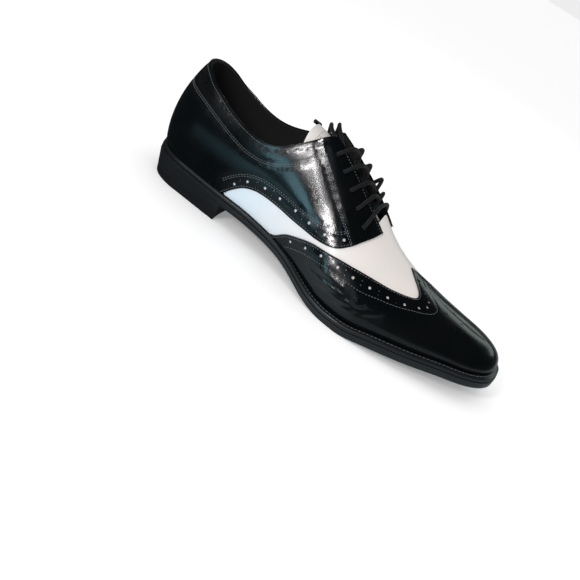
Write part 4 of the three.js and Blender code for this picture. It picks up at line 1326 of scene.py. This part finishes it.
def strand(side, row):
    u, girth = EYELETS[row]
    rise = STANDING_RISE if side == INNER and row == STANDING_ROW else 0
    run = STRAND_RUN * (BAR_STOP if row == len(EYELETS) - 2 else 1)
    lift = FACING + LACE / 2
    down = off_last(side, u - 0.001, girth - 0.006, -1.6)
    hole = off_last(side, u, girth, FACING + 0.7)
    between_them = off_last(side, u + run * 0.3, (girth + FACING_GIRTH) / 2, lift + 0.3 + rise / 2)
    rim = off_last(side, u + run * 0.65, FACING_GIRTH, lift + 0.8 + rise)
    far = off_last(-side, u + run * 1.35, FACING_GIRTH, lift + 0.8)
    # The two strands of a row lie on each other where they cross.
    apart = LACE * 0.42 if side == OUTER else -LACE * 0.42
    cross = (rim + far) / 2 + [0, 0, apart - STRAND_SAG - rise / 2]
    dive = on_tongue(cross[0] / LENGTH + run / 3, 0.26 * -side)[0] * 1000 + [HEEL_SEAT, 0, LACE / 2 + 0.8]
    hidden = on_tongue(cross[0] / LENGTH + run * 0.7, 0.42 * -side)[0] * 1000
    hidden += [HEEL_SEAT, 0, LACE / 2 + 0.1]
    return [down, hole, between_them, rim, cross, dive, hidden]


def bar(row):
    u, girth = EYELETS[row]
    half = {}
    for side in (OUTER, INNER):
        half[side] = [
            off_last(side, u + 0.001, girth - 0.004, -1.6), off_last(side, u + 0.001, girth, FACING + 0.55)
        ]
        for share in (0.5, 1.0):
            place = girth + share * (FACING_GIRTH - girth)
            half[side].append(off_last(side, u, place, FACING + LACE / 2 + 0.3))
    return half[OUTER] + half[INNER][::-1]


for row in range(5):
    name = f"lace_row_{row + 1}"
    if row == 4:
        piece, _, length = tube(name + "_bar", bar(row), LACE / 2, cotton)
        seat(piece, "lace_cord", name)
    else:
        first, _, length = tube(name + "_from_outer", strand(OUTER, row), LACE / 2, cotton)
        second, _, _ = tube(name + "_from_inner", strand(INNER, row), LACE / 2, cotton)
        seat(first, "lace_cord", name)
        seat(second, "lace_cord", name)
    print(name, round(length * 1000), "mm")

# %% [markdown]
# ## Stitches
# Every seam is sewn with short stitches. Each one is a small stretched ball that lies in the pulled line of
# its seam, and all the stitches of a panel are joined in one mesh, so a few thousand of them stay light.

# %% Sewing a seam
def sew(name, seams, lift, slot, pitch=2.3, length=1.75, thick=0.42, place_on=on_last):
    """Stitches along seams, each a line of places."""
    shape = bmesh.new()
    count = 0
    for seam in seams:
        points = place_on(seam[:, 0], seam[:, 1], lift)
        run = np.concatenate(([0], np.cumsum(np.linalg.norm(np.diff(points, axis=0), axis=1)))) * 1000
        goal = np.arange(pitch / 2, run[-1], pitch)
        u, girth = np.interp(goal, run, seam[:, 0]), np.interp(goal, run, seam[:, 1])
        ahead = np.interp(goal + 0.4, run, seam[:, 0]), np.interp(goal + 0.4, run, seam[:, 1])
        centre, front = place_on(u, girth, lift), place_on(*ahead, lift)
        above = place_on(u, girth, lift + 1.0)
        for middle_point, next_point, up_point in zip(centre, front, above):
            way = Vector(next_point - middle_point).normalized()
            up = Vector(up_point - middle_point).normalized()
            side_way = up.cross(way).normalized()
            axes = (way * length / 2000, side_way * thick / 2000, up * thick / 2000)
            turn = Matrix(axes).transposed().to_4x4()
            turn.translation = Vector(middle_point)
            bmesh.ops.create_icosphere(shape, subdivisions=1, radius=1, matrix=turn)
            count += 1
    seat(to_piece(shape, name, [painted_highlight_thread]), slot)
    print(name, count, "stitches")


# Millimetres that the stitches lie off the last's surface
SUNK, ON_FACING = -0.12, 0.42
sew("wing_stitches", wing_seams, SUNK, "black_leather")
for side in (OUTER, INNER):
    name = "quarter_outer" if side == OUTER else "quarter_inner"
    low_seams, facing_seams = quarter_seams[side][:6], quarter_seams[side][6:]
    sew(name + "_stitches", low_seams, SUNK, "black_leather")
    sew(name + "_facing_stitches", facing_seams, ON_FACING, "black_leather")


def on_welt(way, _, lift):
    """A place on the welt. sew() also hands over a girth, which the welt has no use for."""
    at_top = lambda at: welt_top(at) - 0.25 + lift
    return welt_point(way, lambda at: ledge(at) * 0.62 + 0.3, at_top)


forepart = np.stack((np.linspace(0.40, 1.60, 400), np.zeros(400)), -1)
sew("welt_stitches", [forepart], 0.0, "sole_edge", pitch=3.0, length=2.4, thick=0.7, place_on=on_welt)
hem = np.stack((np.full(60, TONGUE_START + 0.024), np.linspace(-0.96, 0.96, 60)), -1)
sew("tongue_stitches", [hem], 0.02, "white_leather", thick=0.36, place_on=on_tongue)

# %% [markdown]
# ## Floor and light
# The photograph is a studio shot on white: broad soft lights make long clean reflections in the polish, and
# the floor is nearly as bright as the background. The floor isn't part of the shoe.

# %% Floor
bpy.ops.mesh.primitive_plane_add(size=40.0, location=(0, 0, 0))
floor = bpy.context.object
floor.name = "floor"
paper, tree, shader = shaded("studio_paper", Base_Color=linear("f4f4f4"), Roughness=0.9)
shader.inputs["Specular IOR Level"].default_value = 0.1
floor.data.materials.append(paper)

# The paper is lit by lamps of its own, so it is a little brighter than the light on the shoe. A mirrored
# ray sees painted reflections instead: the floor turns dark at the heel and dim before the toe, and two
# patches glow there, so the polish mirrors these rather than the paper.
glow = add(tree, "ShaderNodeEmission", Color=(1.0, 1.0, 1.0, 1.0), Strength=0.22)
lit = add(tree, "ShaderNodeAddShader", _0=shader.outputs[0], _1=glow.outputs[0])
place = add(tree, "ShaderNodeTexCoord").outputs["Object"]
along = add(tree, "ShaderNodeSeparateXYZ", _0=place)
painted_reflection_level = add(
    tree, "ShaderNodeMapRange", Value=along.outputs[0], From_Min=0.04, From_Max=0.16, To_Min=0.02,
    To_Max=0.30,
)
# Painted reflection: what a mirrored ray sees of the floor, a cool glow that grows from the heel towards the
# toe.
mirrored = add(tree, "ShaderNodeEmission", Color=(0.82, 0.95, 1.0, 1.0), Strength=painted_reflection_level.outputs[0])
# Middle, radius, colour, strength
PAINTED_REFLECTIONS = [
    ((0.0, -0.27, 0.0), 0.15, (0.42, 0.85, 1.0, 1.0), 1.1),
    ((0.09, -0.12, 0.0), 0.10, (0.85, 0.95, 1.0, 1.0), 0.8),
]
# Painted reflections: two glowing spots on the floor that only mirrored rays see.
for middle_point, radius, colour, strength in PAINTED_REFLECTIONS:
    centred = add(tree, "ShaderNodeVectorMath", {"operation": "SUBTRACT"}, _0=place, _1=middle_point)
    spread = add(
        tree, "ShaderNodeMapping", Vector=centred.outputs[0], Scale=(1 / radius, 1 / radius, 1 / radius)
    )
    patch = add(tree, "ShaderNodeTexGradient", {"gradient_type": "SPHERICAL"}, Vector=spread.outputs[0])
    level = add(tree, "ShaderNodeMath", {"operation": "MULTIPLY"}, _0=patch.outputs[1], _1=strength)
    painted_reflection_glow = add(tree, "ShaderNodeEmission", Color=colour, Strength=level.outputs[0])
    mirrored = add(tree, "ShaderNodeAddShader", _0=mirrored.outputs[0], _1=painted_reflection_glow.outputs[0])
mirrored_ray = add(tree, "ShaderNodeLightPath").outputs["Is Glossy Ray"]
either = add(tree, "ShaderNodeMixShader", _0=mirrored_ray, _1=lit.outputs[0], _2=mirrored.outputs[0])
tree.links.new(either.outputs[0], tree.nodes["Material Output"].inputs["Surface"])
print("floor with", len(PAINTED_REFLECTIONS), "lit patches")

# %% Lights
bpy.context.scene.view_settings.view_transform = "Standard"
world = bpy.data.worlds.new("studio")
bpy.context.scene.world = world
world.use_nodes = True
tree = world.node_tree
sky = tree.nodes["Background"]
sky.inputs["Color"].default_value = (1.0, 1.0, 1.0, 1.0)
upward = add(tree, "ShaderNodeSeparateXYZ", _0=add(tree, "ShaderNodeTexCoord").outputs["Generated"])
haze = add(
    tree, "ShaderNodeMapRange", Value=upward.outputs[2], From_Min=0.0, From_Max=0.5, To_Min=0.07,
    To_Max=0.01,
)
mirrored_ray = add(tree, "ShaderNodeLightPath").outputs["Is Glossy Ray"]
strength = add(tree, "ShaderNodeMix", {"data_type": "FLOAT"}, _0=mirrored_ray, _2=0.85, _3=haze.outputs[0])
tree.links.new(strength.outputs[0], sky.inputs["Strength"])
SHOE_MIDDLE = Vector((0.10, 0.0, 0.05))


def softbox(name, azimuth, elevation, distance, size, radiance, colour, lean=0):
    """A rectangular light that faces the shoe, leaning by some degrees. Radiance is how bright it looks."""
    light = bpy.data.lights.new(name, "AREA")
    light.shape = "RECTANGLE"
    light.size, light.size_y = size
    light.energy = radiance * math.pi * size[0] * size[1]
    light.color = colour
    box = bpy.data.objects.new(name, light)
    turn, rise = math.radians(azimuth), math.radians(elevation)
    way = Vector((math.cos(turn) * math.cos(rise), math.sin(turn) * math.cos(rise), math.sin(rise)))
    place = SHOE_MIDDLE + way * distance
    facing = (-way).to_track_quat("-Z", "Y").to_matrix().to_4x4()
    box.matrix_world = Matrix.Translation(place) @ facing @ Matrix.Rotation(math.radians(lean), 4, "Z")
    box.visible_camera = False
    bpy.context.scene.collection.objects.link(box)


# The strip and its short core give the long white light on the quarter, the cool boxes and the floor's
# painted teal reflection the teal beside it.
softbox("key_strip", -104.5, 26, 1.2, (0.038, 0.36), 95, (1.0, 0.97, 0.98), lean=-22)
softbox("cool_side", -110, 5, 0.6, (0.06, 0.10), 4.6, (0.42, 0.84, 1.0))
softbox("cool_top", -80, 32, 1.2, (0.14, 0.80), 0.45, (0.70, 0.88, 1.0))
softbox("key_core", -98.5, 27, 1.2, (0.022, 0.14), 85, (1.0, 0.98, 0.99), lean=-20)
softbox("back", 70, 25, 1.4, (0.8, 0.3), 1.0, (0.85, 1.0, 0.95))
softbox("warm_front", -93, 30, 1.3, (0.10, 0.3), 0.35, (1.0, 0.80, 0.62))
print(len(bpy.data.lights), "lights")
